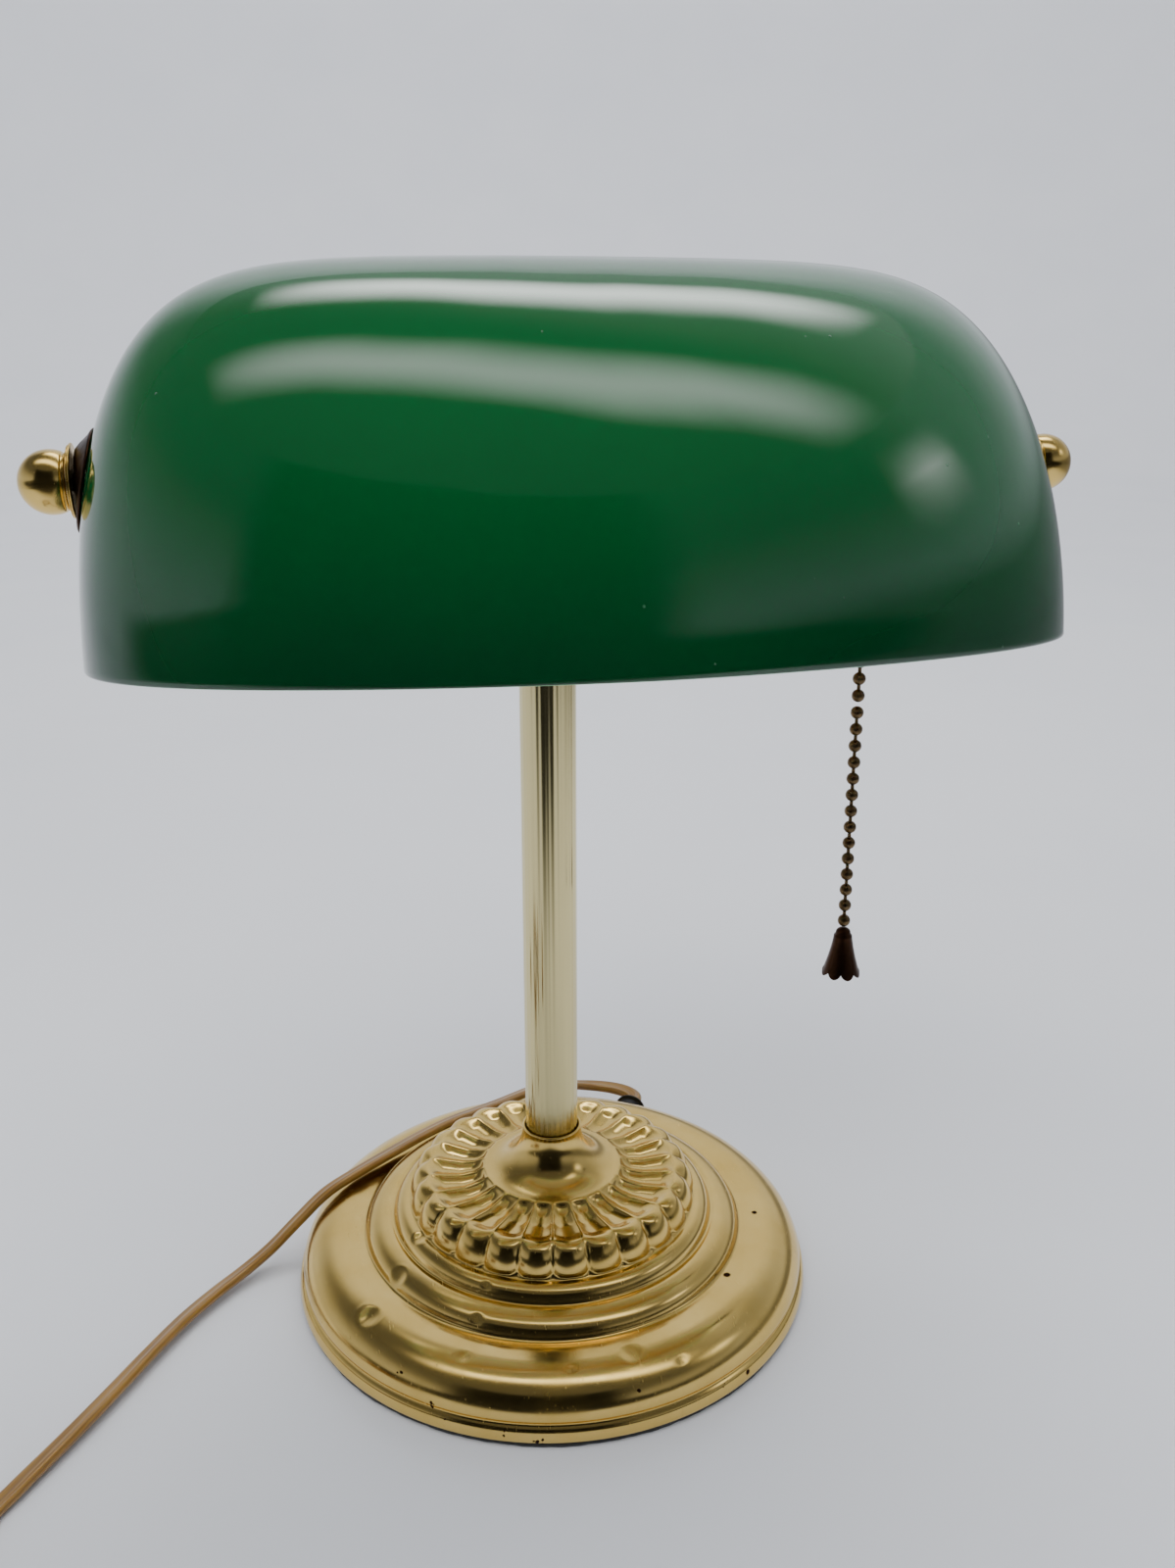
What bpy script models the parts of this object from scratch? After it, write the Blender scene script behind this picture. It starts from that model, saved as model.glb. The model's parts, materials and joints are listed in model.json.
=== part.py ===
"""Banker's desk lamp: a stepped brass base, a reeded stem, a yoke, a cased glass shade and a pull-chain socket.

Metres, +Z up, +X along the shade and -Y towards the reader. The origin is under the middle of the base.
"""

import math

import bmesh
import bpy
from mathutils import Matrix, Vector

MM = 0.001
GAP = 0.3 * MM  # clearance between pieces that touch

# Base
FELT_INSET = 1.3 * MM  # from the base's skirt to the edge of the felt
FELT_THICKNESS = 1.2 * MM
SHELL_RADIUS = 68.2 * MM
SHELL_WALL = 1.2 * MM
SKIRT_HEIGHT = 5.2 * MM
TORUS_TOP = 15.2 * MM
TORUS_INNER = 50.3 * MM
STEP_TOPS = (18.9 * MM, 22.2 * MM)
STEP_INNERS = (43.2 * MM, 37.4 * MM)
CROWN_TOP = 30.3 * MM
CROWN_INNER = 30.6 * MM
NECK_RADIUS = 18.3 * MM
LIP_HEIGHT = 43.0 * MM
LIP_WALL = 0.5 * MM
SOCKET_FLOOR = 36.2 * MM
WEIGHT_COUNTERBORE = 16.0 * MM
WEIGHT_CEILING = 13.0 * MM

# Stem and rod
STEM_RADIUS = 6.85 * MM
STEM_WALL = 0.95 * MM
STEM_LENGTH = 142.4 * MM
REED_COUNT = 30
REED_DEPTH = 0.28 * MM
ROD_RADIUS = 4.85 * MM
ROD_BORE = 3.6 * MM
ROD_BELOW = 6.8 * MM
HEX_NUT_RADIUS = 9.2 * MM
HEX_NUT_HEIGHT = 4.0 * MM
WASHER_THICKNESS = 1.1 * MM
COLLAR_HEIGHT = 2.8 * MM
COLLAR_RADIUS = 9.4 * MM

# Yoke
STRAP_WIDTH = 12.0 * MM
STRAP_THICKNESS = 1.6 * MM
STRAP_BEND = 8.0 * MM
YOKE_OFFSET = 8.8 * MM  # the shade's middle stands this far along +X from the stem
CUSHION_ROOM = 3.758 * MM  # from an ear's outer face to the inside of the glass
EAR_ABOVE_AXIS = 6.5 * MM

# Shade
SHADE_HALF_LENGTH = 111.1 * MM
SHADE_HALF_WIDTH = 68.3 * MM
SHADE_HEIGHT = 84.6 * MM
GLASS_THICKNESS = 3.0 * MM
AXIS_ABOVE_RIM = 38.9 * MM
AXIS_ABOVE_STRAP = 28.5 * MM
SHADE_TILT = math.radians(-5.5)  # the front edge is raised
GLASS_HOLE = 4.4 * MM
LENGTH_POWER, WIDTH_POWER = 1.85, 2.88  # of the outline seen from above
END_POWERS = (1.775, 6.65)  # of the outline seen from the front
ARCH_POWER = 1.67  # of the outline seen from an end

# Knobs and their washers, measured along the knob axis from the shade's middle
STUD_RADIUS = 2.0 * MM
STUD_PAST_EAR = 6.2 * MM
BALL_RADIUS = 6.85 * MM
BALL_PAST_NECK = 4.2 * MM
CUP_ROOM = 3.642 * MM  # from the outside of the glass to the knob's ring
RING_THICKNESS = 1.4 * MM
RING_RADIUS = 8.1 * MM
CUP_RADIUS = 12.0 * MM
CUP_RISE = 0.9 * MM
CUSHION_RADIUS = 6.5 * MM
FACET_SAG = 0.7 * MM  # how far the glass's flat facets may stand inside its true curve

# Socket, measured along the knob axis from the bracket's face
BRACKET_INSIDE_EAR = 19.1 * MM
BRACKET_THICKNESS = 1.5 * MM
CAP_LENGTH = 9.5 * MM
SOCKET_LENGTH = 50.0 * MM
SOCKET_RADIUS = 16.3 * MM
SOCKET_WALL = 0.6 * MM
GUIDE_SETBACK = 14.9 * MM
GUIDE_LEAN = math.radians(31.0)  # from straight down, towards the front
GUIDE_RADIUS = 3.2 * MM
GUIDE_BORE = 2.2 * MM
GUIDE_PAST_SHELL = 4.2 * MM
KNEE_PAST_GUIDE = 2.37 * MM
DRUM_RADIUS = 3.6 * MM
SCREW_RADIUS = 12.9 * MM
BULB_RADIUS = 15.2 * MM
BULB_TIP_SETBACK = 165.5 * MM
BULB_SHOULDER_SETBACK = 62.5 * MM

# Chain and bell
BEAD_RADIUS = 1.6 * MM
BEAD_PITCH = 4.233 * MM
LINK_RADIUS = 0.45 * MM
UPPER_BEADS = 8
LOWER_BEADS = 14
STUB_BEADS = 4
BELL_LENGTH = 13.0 * MM
BELL_RADIUS = 4.9 * MM

# Cord, plug and coil
EXIT_AZIMUTH = math.radians(58.0)
EXIT_HEIGHT = 7.5 * MM
BUSHING_RADIUS = 3.9 * MM
BUSHING_BORE = 2.9 * MM
CORD_RADIUS = 1.5 * MM
LEAD_RADIUS = 1.3 * MM
COIL_CENTRE = Vector((-176 * MM, -76 * MM, 0))
COIL_RADIUS = 31.0 * MM
COIL_HALF_WIDTH = 5.5 * MM
COIL_BOTTOM = 1.2 * MM
COIL_TOP = 12.4 * MM
PLUG_BACK = Vector((-197.6 * MM, -31.5 * MM, 7.0 * MM))
PLUG_HEADING = math.radians(49.5)
PLUG_SIZE = (26.0 * MM, 18.0 * MM, 11.0 * MM)
BLADE_SIZE = (17.5 * MM, 1.5 * MM, 6.4 * MM)
BLADE_SPACING = 12.7 * MM

CORD_ROUTE = [  # millimetres, from the bushing over the base's back and left, and out along the table
    (37.1, 59.4, 7.5), (38.9, 62.3, 7.5), (39.2, 65.8, 7.5), (37.2, 69.4, 7.5), (33.4, 72.2, 7.6),
    (28.4, 73.8, 8.0), (22.8, 73.4, 9.2), (17.2, 70.6, 11.6), (12.0, 66.2, 14.4), (6.8, 61.6, 16.8),
    (1.0, 57.4, 17.8), (-6.0, 53.9, 17.8), (-14.0, 50.4, 17.8), (-23.0, 45.6, 18.3), (-33.0, 39.2, 18.3),
    (-42.5, 32.6, 17.9), (-51.5, 26.4, 17.4), (-60.0, 21.2, 15.8), (-68.0, 17.0, 11.0), (-75.5, 13.2, 6.0),
    (-82.5, 8.6, 3.4), (-90.0, 1.6, 2.8), (-97.4, -7.0, 2.7), (-104.6, -17.4, 2.7), (-111.6, -28.2, 2.6),
    (-118.2, -38.0, 2.4), (-124.4, -46.6, 2.1), (-130.4, -54.8, 1.8), (-136.4, -64.4, 1.6),
]
TAIL_ROUTE = [(-215.2, -72.0, 3.0), (-215.0, -62.0, 3.2), (-212.4, -51.6, 4.2), (-206.6, -42.2, 6.0), (-198.2, -32.2, 7.0)]
INNER_ROUTE = [  # millimetres outward along the channel, and height: bushing, channel, and up the rod
    (62.4, 7.5), (58.0, 7.3), (52.0, 6.2), (45.0, 4.6), (36.0, 3.6), (20.0, 3.3), (9.0, 3.3), (5.4, 3.7),
    (2.6, 4.9), (0.9, 6.8), (0.2, 9.5), (0.0, 14.0), (0.0, 100.0), (0.0, 180.0),
]


# --- Helpers ---------------------------------------------------------------------------------------------

def clear_scene():
    for old in list(bpy.data.objects):
        bpy.data.objects.remove(old, do_unlink=True)


def make_material(name, red, green, blue, metallic, roughness):
    material = bpy.data.materials.new(name)
    material.use_nodes = True
    shader = material.node_tree.nodes["Principled BSDF"]
    shader.inputs["Base Color"].default_value = (red, green, blue, 1.0)
    shader.inputs["Metallic"].default_value = metallic
    shader.inputs["Roughness"].default_value = roughness
    return material


def add_mesh(name, points, faces, material, parent=None):
    """An object from points and faces, with its normals turned outwards and its round sides smooth."""
    mesh = bpy.data.meshes.new(name)
    work = bmesh.new()
    corners = [work.verts.new(point) for point in points]
    for face in faces:
        work.faces.new([corners[index] for index in face])
    bmesh.ops.recalc_face_normals(work, faces=work.faces)
    work.to_mesh(mesh)
    work.free()
    mesh.shade_smooth()
    mesh.set_sharp_from_angle(angle=math.radians(35))
    mesh.materials.append(material)
    item = bpy.data.objects.new(name, mesh)
    bpy.context.scene.collection.objects.link(item)
    item.parent = parent
    return item


def place(item, location, axis=(0, 0, 1), spin=0.0):
    """Puts an object at a location with its own Z along the axis, turned about it by spin."""
    turn = Vector((0, 0, 1)).rotation_difference(Vector(axis)).to_matrix().to_4x4()
    item.matrix_local = Matrix.Translation(location) @ turn @ Matrix.Rotation(spin, 4, "Z")
    return item


def turned(name, profile, material, segments=32, parent=None, radius_at=None):
    """A profile of (radius, height) pairs turned about Z. It is closed to a ring unless it starts on the axis.

    radius_at may change a radius by its index in the profile and its angle, as on reeds and scallops.
    """
    points, rows = [], []
    for index, (radius, height) in enumerate(profile):
        if radius < 1e-9:
            rows.append([len(points)] * segments)
            points.append((0, 0, height))
            continue
        rows.append(range(len(points), len(points) + segments))
        for step in range(segments):
            angle = 2 * math.pi * step / segments
            reach = radius_at(index, radius, angle) if radius_at else radius
            points.append((reach * math.cos(angle), reach * math.sin(angle), height))
    ring = profile[0][0] > 1e-9
    pairs = list(zip(rows, rows[1:] + rows[:1])) if ring else list(zip(rows, rows[1:]))
    faces = []
    for low, high in pairs:
        for step in range(segments):
            after = (step + 1) % segments
            corners = [low[step], low[after], high[after], high[step]]
            faces.append([c for place_, c in enumerate(corners) if c not in corners[:place_]])
    return add_mesh(name, points, faces, material, parent)


def hex_nut(name, bore, corners, low, high, material):
    """A nut with a round bore. corners is the radius at its corners."""
    def hexagon(index, radius, angle):
        across = math.radians(30) - angle % math.radians(60)
        return radius * math.cos(math.radians(30)) / math.cos(across) if index in (1, 2) else radius

    return turned(name, tube_profile(bore, corners, low, high), material, 24, radius_at=hexagon)


def tube_profile(inner, outer, low, high):
    return [(inner, low), (outer, low), (outer, high), (inner, high)]


def solid_profile(radius, low, high):
    return [(0, low), (radius, low), (radius, high), (0, high)]


def arc(centre_r, centre_h, radius_r, radius_h, start, end, steps):
    """Points on an ellipse's arc, from the start angle to the end angle in degrees."""
    angles = [math.radians(start + (end - start) * step / steps) for step in range(steps + 1)]
    return [(centre_r + radius_r * math.cos(a), centre_h + radius_h * math.sin(a)) for a in angles]


def extruded(name, outline, depth, material, parent=None):
    """An outline in X and Z, given a depth along Y that is centred on Y = 0."""
    count = len(outline)
    points = [(x, side * depth / 2, z) for side in (-1, 1) for x, z in outline]
    faces = [list(range(count)), list(range(2 * count - 1, count - 1, -1))]
    faces += [[i, (i + 1) % count, count + (i + 1) % count, count + i] for i in range(count)]
    return add_mesh(name, points, faces, material, parent)


def block(name, size, material, bevel=0.0):
    """A box that starts at X = 0 and is centred on Y and Z, with its long edges rounded."""
    length, width, height = size
    points = [(x, y, z) for x in (0, length) for y in (-width / 2, width / 2) for z in (-height / 2, height / 2)]
    faces = [(0, 1, 3, 2), (4, 6, 7, 5), (0, 4, 5, 1), (2, 3, 7, 6), (0, 2, 6, 4), (1, 5, 7, 3)]
    item = add_mesh(name, points, faces, material)
    if bevel:
        rounding = item.modifiers.new("rounding", "BEVEL")
        rounding.width = bevel
        rounding.segments = 2
    return item


def helper(item):
    item.hide_render = True
    item.display_type = "WIRE"
    return item


def cut(item, cutter):
    helper(cutter)
    opening = item.modifiers.new(cutter.name, "BOOLEAN")
    opening.operation = "DIFFERENCE"
    opening.solver = "EXACT"
    opening.object = cutter


def smooth_route(route, spacing):
    """Even points along a Catmull-Rom curve through the route's own points."""
    points = [Vector(p) for p in route]
    ends = [points[0] * 2 - points[1]] + points + [points[-1] * 2 - points[-2]]
    fine = []
    for before, start, end, after in zip(ends, ends[1:], ends[2:], ends[3:]):
        for step in range(12):
            t = step / 12
            fine.append(0.5 * (2 * start + (end - before) * t + (2 * before - 5 * start + 4 * end - after) * t ** 2
                               + (3 * start - before - 3 * end + after) * t ** 3))
    fine.append(points[-1])
    lengths = [0.0]
    for first, second in zip(fine, fine[1:]):
        lengths.append(lengths[-1] + (second - first).length)
    count = max(2, round(lengths[-1] / spacing))
    even, index = [], 0
    for step in range(count + 1):
        wanted = lengths[-1] * step / count
        while index < len(fine) - 2 and lengths[index + 1] < wanted:
            index += 1
        share = (wanted - lengths[index]) / (lengths[index + 1] - lengths[index])
        even.append(fine[index].lerp(fine[index + 1], share))
    return even


def tube_along(name, points, radius, material, parent=None):
    curve = bpy.data.curves.new(name, "CURVE")
    curve.dimensions = "3D"
    curve.bevel_depth = radius
    curve.bevel_resolution = 2
    curve.use_fill_caps = True
    spline = curve.splines.new("POLY")
    spline.points.add(len(points) - 1)
    for point, target in zip(spline.points, points):
        point.co = (*target, 1.0)
    curve.materials.append(material)
    item = bpy.data.objects.new(name, curve)
    bpy.context.scene.collection.objects.link(item)
    item.parent = parent
    return item


def pivot(name, location, rotation=(0, 0, 0)):
    empty = bpy.data.objects.new(name, None)
    bpy.context.scene.collection.objects.link(empty)
    empty.location = location
    empty.rotation_euler = rotation
    return empty


# --- The glass's outline, and places worked out from the sizes above ------------------------------------

def end_reach(share, half_length):
    return half_length * max(0.0, 1 - share ** END_POWERS[0]) ** (1 / END_POWERS[1])


def side_reach(share, half_width):
    return half_width * math.sqrt(max(0.0, 1 - share ** ARCH_POWER))


def wall_at(y, z, inset=0.0):
    """How far the glass reaches along X from the middle at this place beside the knob axis, less an inset."""
    share = (AXIS_ABOVE_RIM + z) / (SHADE_HEIGHT - inset)
    across = abs(y) / side_reach(share, SHADE_HALF_WIDTH - inset)
    return end_reach(share, SHADE_HALF_LENGTH - inset) * (1 - across ** WIDTH_POWER) ** (1 / LENGTH_POWER)


FELT_RADIUS = SHELL_RADIUS - FELT_INSET
SHELL_BOTTOM = FELT_THICKNESS + GAP
STEM_BOTTOM = SOCKET_FLOOR + GAP
STEM_TOP = STEM_BOTTOM + STEM_LENGTH
COLLAR_BOTTOM = STEM_TOP + GAP
STRAP_BOTTOM = COLLAR_BOTTOM + COLLAR_HEIGHT + GAP
STRAP_TOP = STRAP_BOTTOM + STRAP_THICKNESS
TOP_WASHER = STRAP_TOP + GAP
TOP_NUT = TOP_WASHER + WASHER_THICKNESS + GAP
ROD_TOP = TOP_NUT + HEX_NUT_HEIGHT * 0.75 + 1.0 * MM
LIP_RADIUS = STEM_RADIUS + GAP + LIP_WALL
AXIS_HEIGHT = STRAP_TOP + AXIS_ABOVE_STRAP

# Places along the knob axis, from the shade's middle
GLASS_AT_AXIS = wall_at(0, 0)
EAR_OUTER = GLASS_AT_AXIS - GLASS_THICKNESS - CUSHION_ROOM
STUD_INNER = EAR_OUTER - STUD_PAST_EAR
RING_INNER = GLASS_AT_AXIS + CUP_ROOM
NECK_START = RING_INNER + RING_THICKNESS + GAP
BALL_CENTRE = NECK_START + BALL_PAST_NECK
BRACKET_FACE = EAR_OUTER - BRACKET_INSIDE_EAR
CAP_RIM = BRACKET_FACE - CAP_LENGTH
SOCKET_MOUTH = BRACKET_FACE - SOCKET_LENGTH
GUIDE_AT = BRACKET_FACE - GUIDE_SETBACK
GUIDE_REACH = SOCKET_RADIUS + GUIDE_PAST_SHELL  # from the knob axis, along the guide
KNEE_REACH = GUIDE_REACH + KNEE_PAST_GUIDE
BULB_TIP = BRACKET_FACE - BULB_TIP_SETBACK
BULB_SHOULDER = BRACKET_FACE - BULB_SHOULDER_SETBACK


# --- Base ------------------------------------------------------------------------------------------------

def shell_outside():
    """The stamping's outer line from the foot to the lip: skirt, torus, two steps, crown, flutes and neck."""
    foot_r = SHELL_RADIUS - 0.6 * MM
    torus_r = SHELL_RADIUS - 1.1 * MM
    torus_c = TORUS_INNER + 6.2 * MM
    line = [(SHELL_RADIUS, SHELL_BOTTOM), (foot_r, SKIRT_HEIGHT), (foot_r - 0.8 * MM, SKIRT_HEIGHT + 0.4 * MM)]
    line += arc(torus_c, SKIRT_HEIGHT + 0.8 * MM, torus_r - torus_c, TORUS_TOP - SKIRT_HEIGHT - 0.8 * MM, 0, 90, 4)
    line += [(TORUS_INNER, TORUS_TOP - 0.4 * MM)]
    outer, low = TORUS_INNER - 0.5 * MM, TORUS_TOP + 0.4 * MM
    for top, inner in zip(STEP_TOPS, STEP_INNERS):
        line += arc(inner + 0.4 * MM, low, outer - inner - 0.4 * MM, top - low, 0, 90, 3)
        line += [(inner, top - 0.2 * MM)]
        outer, low = inner - 0.4 * MM, top + 0.4 * MM
    line += arc(CROWN_INNER, low, outer - CROWN_INNER, CROWN_TOP - low, 0, 90, 4)
    line += [((CROWN_INNER + NECK_RADIUS) / 2, CROWN_TOP - 0.8 * MM)]
    foot = CROWN_TOP + 0.9 * MM
    line += arc(NECK_RADIUS, LIP_HEIGHT, NECK_RADIUS - LIP_RADIUS, LIP_HEIGHT - foot, 270, 180, 4)
    return line


def shell_inside():
    """The inner line from the stem's seat back down to the foot, one wall inside the outer line."""
    wall = SHELL_WALL
    seat = STEM_RADIUS + GAP
    torus_c = TORUS_INNER + 6.2 * MM
    line = [(seat, LIP_HEIGHT), (seat, SOCKET_FLOOR), (ROD_RADIUS + GAP, SOCKET_FLOOR)]
    line += [(ROD_RADIUS + GAP, SOCKET_FLOOR - wall), (seat + 0.9 * MM, SOCKET_FLOOR - wall - 0.2 * MM)]
    line += [(NECK_RADIUS - 5.0 * MM, CROWN_TOP + 0.4 * MM), (NECK_RADIUS, CROWN_TOP - 0.5 * MM)]
    line += [((CROWN_INNER + NECK_RADIUS) / 2, CROWN_TOP - 0.8 * MM - wall), (CROWN_INNER, CROWN_TOP - wall)]
    crown_outer = STEP_INNERS[1] - 0.4 * MM
    line += arc(CROWN_INNER, STEP_TOPS[1], crown_outer - CROWN_INNER - wall, CROWN_TOP - STEP_TOPS[1] - wall, 60, 0, 2)
    for top, inner in zip(reversed(STEP_TOPS), reversed(STEP_INNERS)):
        line += [(inner - 0.6 * MM, top - wall), (inner + 2.2 * MM, top - wall - 0.4 * MM)]
    line += [(TORUS_INNER - 1.2 * MM, TORUS_TOP - 0.8 * MM), (TORUS_INNER - 0.8 * MM, TORUS_TOP - 0.4 * MM - wall)]
    torus_r = SHELL_RADIUS - 1.1 * MM - wall
    rise = TORUS_TOP - SKIRT_HEIGHT - 0.8 * MM - wall
    line += arc(torus_c, SKIRT_HEIGHT + 0.8 * MM, torus_r - torus_c, rise, 90, 0, 3)
    line += [(SHELL_RADIUS - 0.6 * MM - 1.8 * wall, SKIRT_HEIGHT), (SHELL_RADIUS - wall, SHELL_BOTTOM)]
    return line


def build_base(metals):
    outward = Vector((math.cos(EXIT_AZIMUTH), math.sin(EXIT_AZIMUTH), 0))
    turned("felt_pad", solid_profile(FELT_RADIUS, 0, FELT_THICKNESS), metals["felt"], 40)

    shell = turned("base_shell", shell_outside() + shell_inside(), metals["gold"], 36)
    hole = turned("cord_hole_cutter", solid_profile(BUSHING_RADIUS + GAP, 0, 20 * MM), metals["gold"], 16)
    place(hole, outward * (SHELL_RADIUS - 10.2 * MM) + Vector((0, 0, EXIT_HEIGHT)), outward)
    cut(shell, hole)

    reach = SHELL_RADIUS - 6.2 * MM
    profile = [(ROD_RADIUS + GAP, WEIGHT_CEILING), (WEIGHT_COUNTERBORE, WEIGHT_CEILING)]
    profile += [(WEIGHT_COUNTERBORE, SHELL_BOTTOM), (reach, SHELL_BOTTOM), (reach, TORUS_TOP - 6.4 * MM)]
    profile += [(TORUS_INNER - 2.0 * MM, TORUS_TOP - 2.6 * MM), (STEP_INNERS[1] - 2.6 * MM, STEP_TOPS[1] - 3.0 * MM)]
    profile += [(ROD_RADIUS + GAP, STEP_TOPS[1] - 3.0 * MM)]
    weight = turned("base_weight", profile, metals["iron"], 40)
    channel = block("channel_cutter", (60 * MM, 9.0 * MM, 20 * MM), metals["iron"])
    place(channel, (0, 0, 0), (0, 0, 1), EXIT_AZIMUTH)
    channel.location = outward * 12 * MM + Vector((0, 0, EXIT_HEIGHT + 3.6 * MM - 10 * MM))
    cut(weight, channel)

    start = SHELL_RADIUS + GAP
    profile = [(BUSHING_BORE, reach + 2 * GAP), (BUSHING_RADIUS, reach + 2 * GAP), (BUSHING_RADIUS, start)]
    profile += [(5.1 * MM, start), (4.6 * MM, start + 1.3 * MM), (BUSHING_BORE, start + 1.3 * MM)]
    bushing = turned("cord_bushing", profile, metals["black_rubber"], 16)
    place(bushing, (0, 0, EXIT_HEIGHT), outward)

    turned("threaded_rod", tube_profile(ROD_BORE, ROD_RADIUS, ROD_BELOW, ROD_TOP), metals["steel"], 20)
    bottom_washer = WEIGHT_CEILING - GAP - WASHER_THICKNESS
    bore = ROD_RADIUS + GAP
    turned("bottom_washer", tube_profile(bore, 12 * MM, bottom_washer, bottom_washer + WASHER_THICKNESS), metals["steel"], 24)
    nut_low = bottom_washer - GAP - HEX_NUT_HEIGHT
    hex_nut("bottom_nut", bore, HEX_NUT_RADIUS, nut_low, nut_low + HEX_NUT_HEIGHT, metals["steel"])


# --- Stem and yoke ---------------------------------------------------------------------------------------

def build_stem(metals):
    def reeds(index, radius, angle):
        return radius - REED_DEPTH * (0.5 - 0.5 * math.cos(REED_COUNT * angle)) if index in (1, 2) else radius

    bore = ROD_RADIUS + GAP
    profile = tube_profile(STEM_RADIUS - STEM_WALL, STEM_RADIUS, STEM_BOTTOM, STEM_TOP)
    turned("stem_tube", profile, metals["pale_gold"], 2 * REED_COUNT, radius_at=reeds)
    low, high = COLLAR_BOTTOM, COLLAR_BOTTOM + COLLAR_HEIGHT
    profile = [(bore, low), (COLLAR_RADIUS - 1.6 * MM, low), (COLLAR_RADIUS, low + 0.7 * MM)]
    profile += [(COLLAR_RADIUS, high - 0.7 * MM), (COLLAR_RADIUS - 1.6 * MM, high), (bore, high)]
    turned("stem_collar", profile, metals["gold"], 24)
    profile = tube_profile(bore, 8.2 * MM, TOP_WASHER, TOP_WASHER + WASHER_THICKNESS)
    turned("top_washer", profile, metals["steel"], 20)
    hex_nut("top_nut", bore, 7.8 * MM, TOP_NUT, TOP_NUT + HEX_NUT_HEIGHT * 0.75, metals["steel"])


def build_yoke(metals):
    """A flat strap bent up into two ears, and an angle bracket for the socket riveted to its bar."""
    ear_top = AXIS_HEIGHT + EAR_ABOVE_AXIS
    bend = [(EAR_OUTER - STRAP_BEND + x, STRAP_BOTTOM + STRAP_BEND - z) for z, x in
            [(STRAP_BEND * math.cos(math.radians(a)), STRAP_BEND * math.sin(math.radians(a))) for a in range(0, 91, 15)]]
    inner = STRAP_BEND - STRAP_THICKNESS
    bend_in = [(EAR_OUTER - STRAP_BEND + inner * math.sin(math.radians(a)),
                STRAP_BOTTOM + STRAP_BEND - inner * math.cos(math.radians(a))) for a in range(90, -1, -15)]
    right = bend + [(EAR_OUTER, ear_top), (EAR_OUTER - STRAP_THICKNESS, ear_top)] + bend_in
    left = [(-x, z) for x, z in reversed(right)]
    outline = [(x + YOKE_OFFSET, z) for x, z in right + left]
    strap = extruded("yoke_strap", outline, STRAP_WIDTH, metals["brass"])
    stem_hole = turned("strap_hole_cutter", solid_profile(ROD_RADIUS + GAP, -5 * MM, 5 * MM), metals["brass"], 20)
    place(stem_hole, (0, 0, STRAP_BOTTOM + STRAP_THICKNESS / 2))
    cut(strap, stem_hole)
    span = EAR_OUTER + 5 * MM
    stud_hole = turned("stud_hole_cutter", solid_profile(STUD_RADIUS + GAP, -span, span), metals["brass"], 12)
    place(stud_hole, (YOKE_OFFSET, 0, AXIS_HEIGHT), (1, 0, 0))
    cut(strap, stud_hole)

    foot, high = STRAP_TOP + GAP, AXIS_HEIGHT + 7.5 * MM
    face, back = BRACKET_FACE, BRACKET_FACE + BRACKET_THICKNESS
    outline = [(face, high), (face, foot + BRACKET_THICKNESS), (face - 11 * MM, foot + BRACKET_THICKNESS)]
    outline += [(face - 11 * MM, foot), (back, foot), (back, high)]
    bracket = extruded("socket_bracket", [(x + YOKE_OFFSET, z) for x, z in outline], 11 * MM, metals["brass"])
    nipple_hole = turned("nipple_hole_cutter", solid_profile(ROD_RADIUS + GAP, -5 * MM, 5 * MM), metals["brass"], 20)
    place(nipple_hole, (YOKE_OFFSET + BRACKET_FACE, 0, AXIS_HEIGHT), (1, 0, 0))
    cut(bracket, nipple_hole)
    for name, x in (("bracket_rivet_inner", face - 8.2 * MM), ("bracket_rivet_outer", face - 3.6 * MM)):
        pad = foot + BRACKET_THICKNESS + GAP
        profile = [(0, pad), (1.9 * MM, pad), (1.9 * MM, pad + 0.4 * MM), (1.0 * MM, pad + 1.1 * MM), (0, pad + 1.2 * MM)]
        place(turned(name, profile, metals["steel"], 12), (YOKE_OFFSET + x, 0, 0))


# --- Shade -----------------------------------------------------------------------------------------------

def glass_rings(inset, columns, rows):
    """Rings of points from the rim to just under the top, on the surface that lies inset inside the glass."""
    rings = []
    for row in range(rows):
        share = math.sin(math.pi / 2 * row / rows)
        length = end_reach(share, SHADE_HALF_LENGTH - inset)
        width = side_reach(share, SHADE_HALF_WIDTH - inset)
        height = share * (SHADE_HEIGHT - inset) - AXIS_ABOVE_RIM
        ring = []
        for column in range(columns):
            angle = 2 * math.pi * column / columns
            c, s = math.cos(angle), math.sin(angle)
            x = length * math.copysign(abs(c) ** (2 / LENGTH_POWER), c)
            y = width * math.copysign(abs(s) ** (2 / WIDTH_POWER), s)
            ring.append((x, y, height))
        rings.append(ring)
    return rings


def build_shade(materials, shade_pivot):
    columns, rows = 40, 9
    points, faces = [], []

    def surface(inset):
        start = len(points)
        for ring in glass_rings(inset, columns, rows):
            points.extend(ring)
        points.append((0, 0, SHADE_HEIGHT - inset - AXIS_ABOVE_RIM))
        for row in range(rows - 1):
            for column in range(columns):
                after = (column + 1) % columns
                low, high = start + row * columns, start + (row + 1) * columns
                faces.append((low + column, low + after, high + after, high + column))
        last = start + (rows - 1) * columns
        faces.extend((last + c, last + (c + 1) % columns, len(points) - 1) for c in range(columns))
        return start

    outer, inner = surface(0.0), surface(GLASS_THICKNESS)
    faces.extend((outer + c, inner + c, inner + (c + 1) % columns, outer + (c + 1) % columns) for c in range(columns))
    shade = add_mesh("shade", points, faces, materials["green_glass"], shade_pivot)
    reach = SHADE_HALF_LENGTH + 10 * MM
    drill = turned("knob_hole_cutter", solid_profile(GLASS_HOLE, -reach, reach), materials["green_glass"], 16, shade_pivot)
    place(drill, (0, 0, 0), (1, 0, 0), math.radians(5))
    cut(shade, drill)


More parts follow.
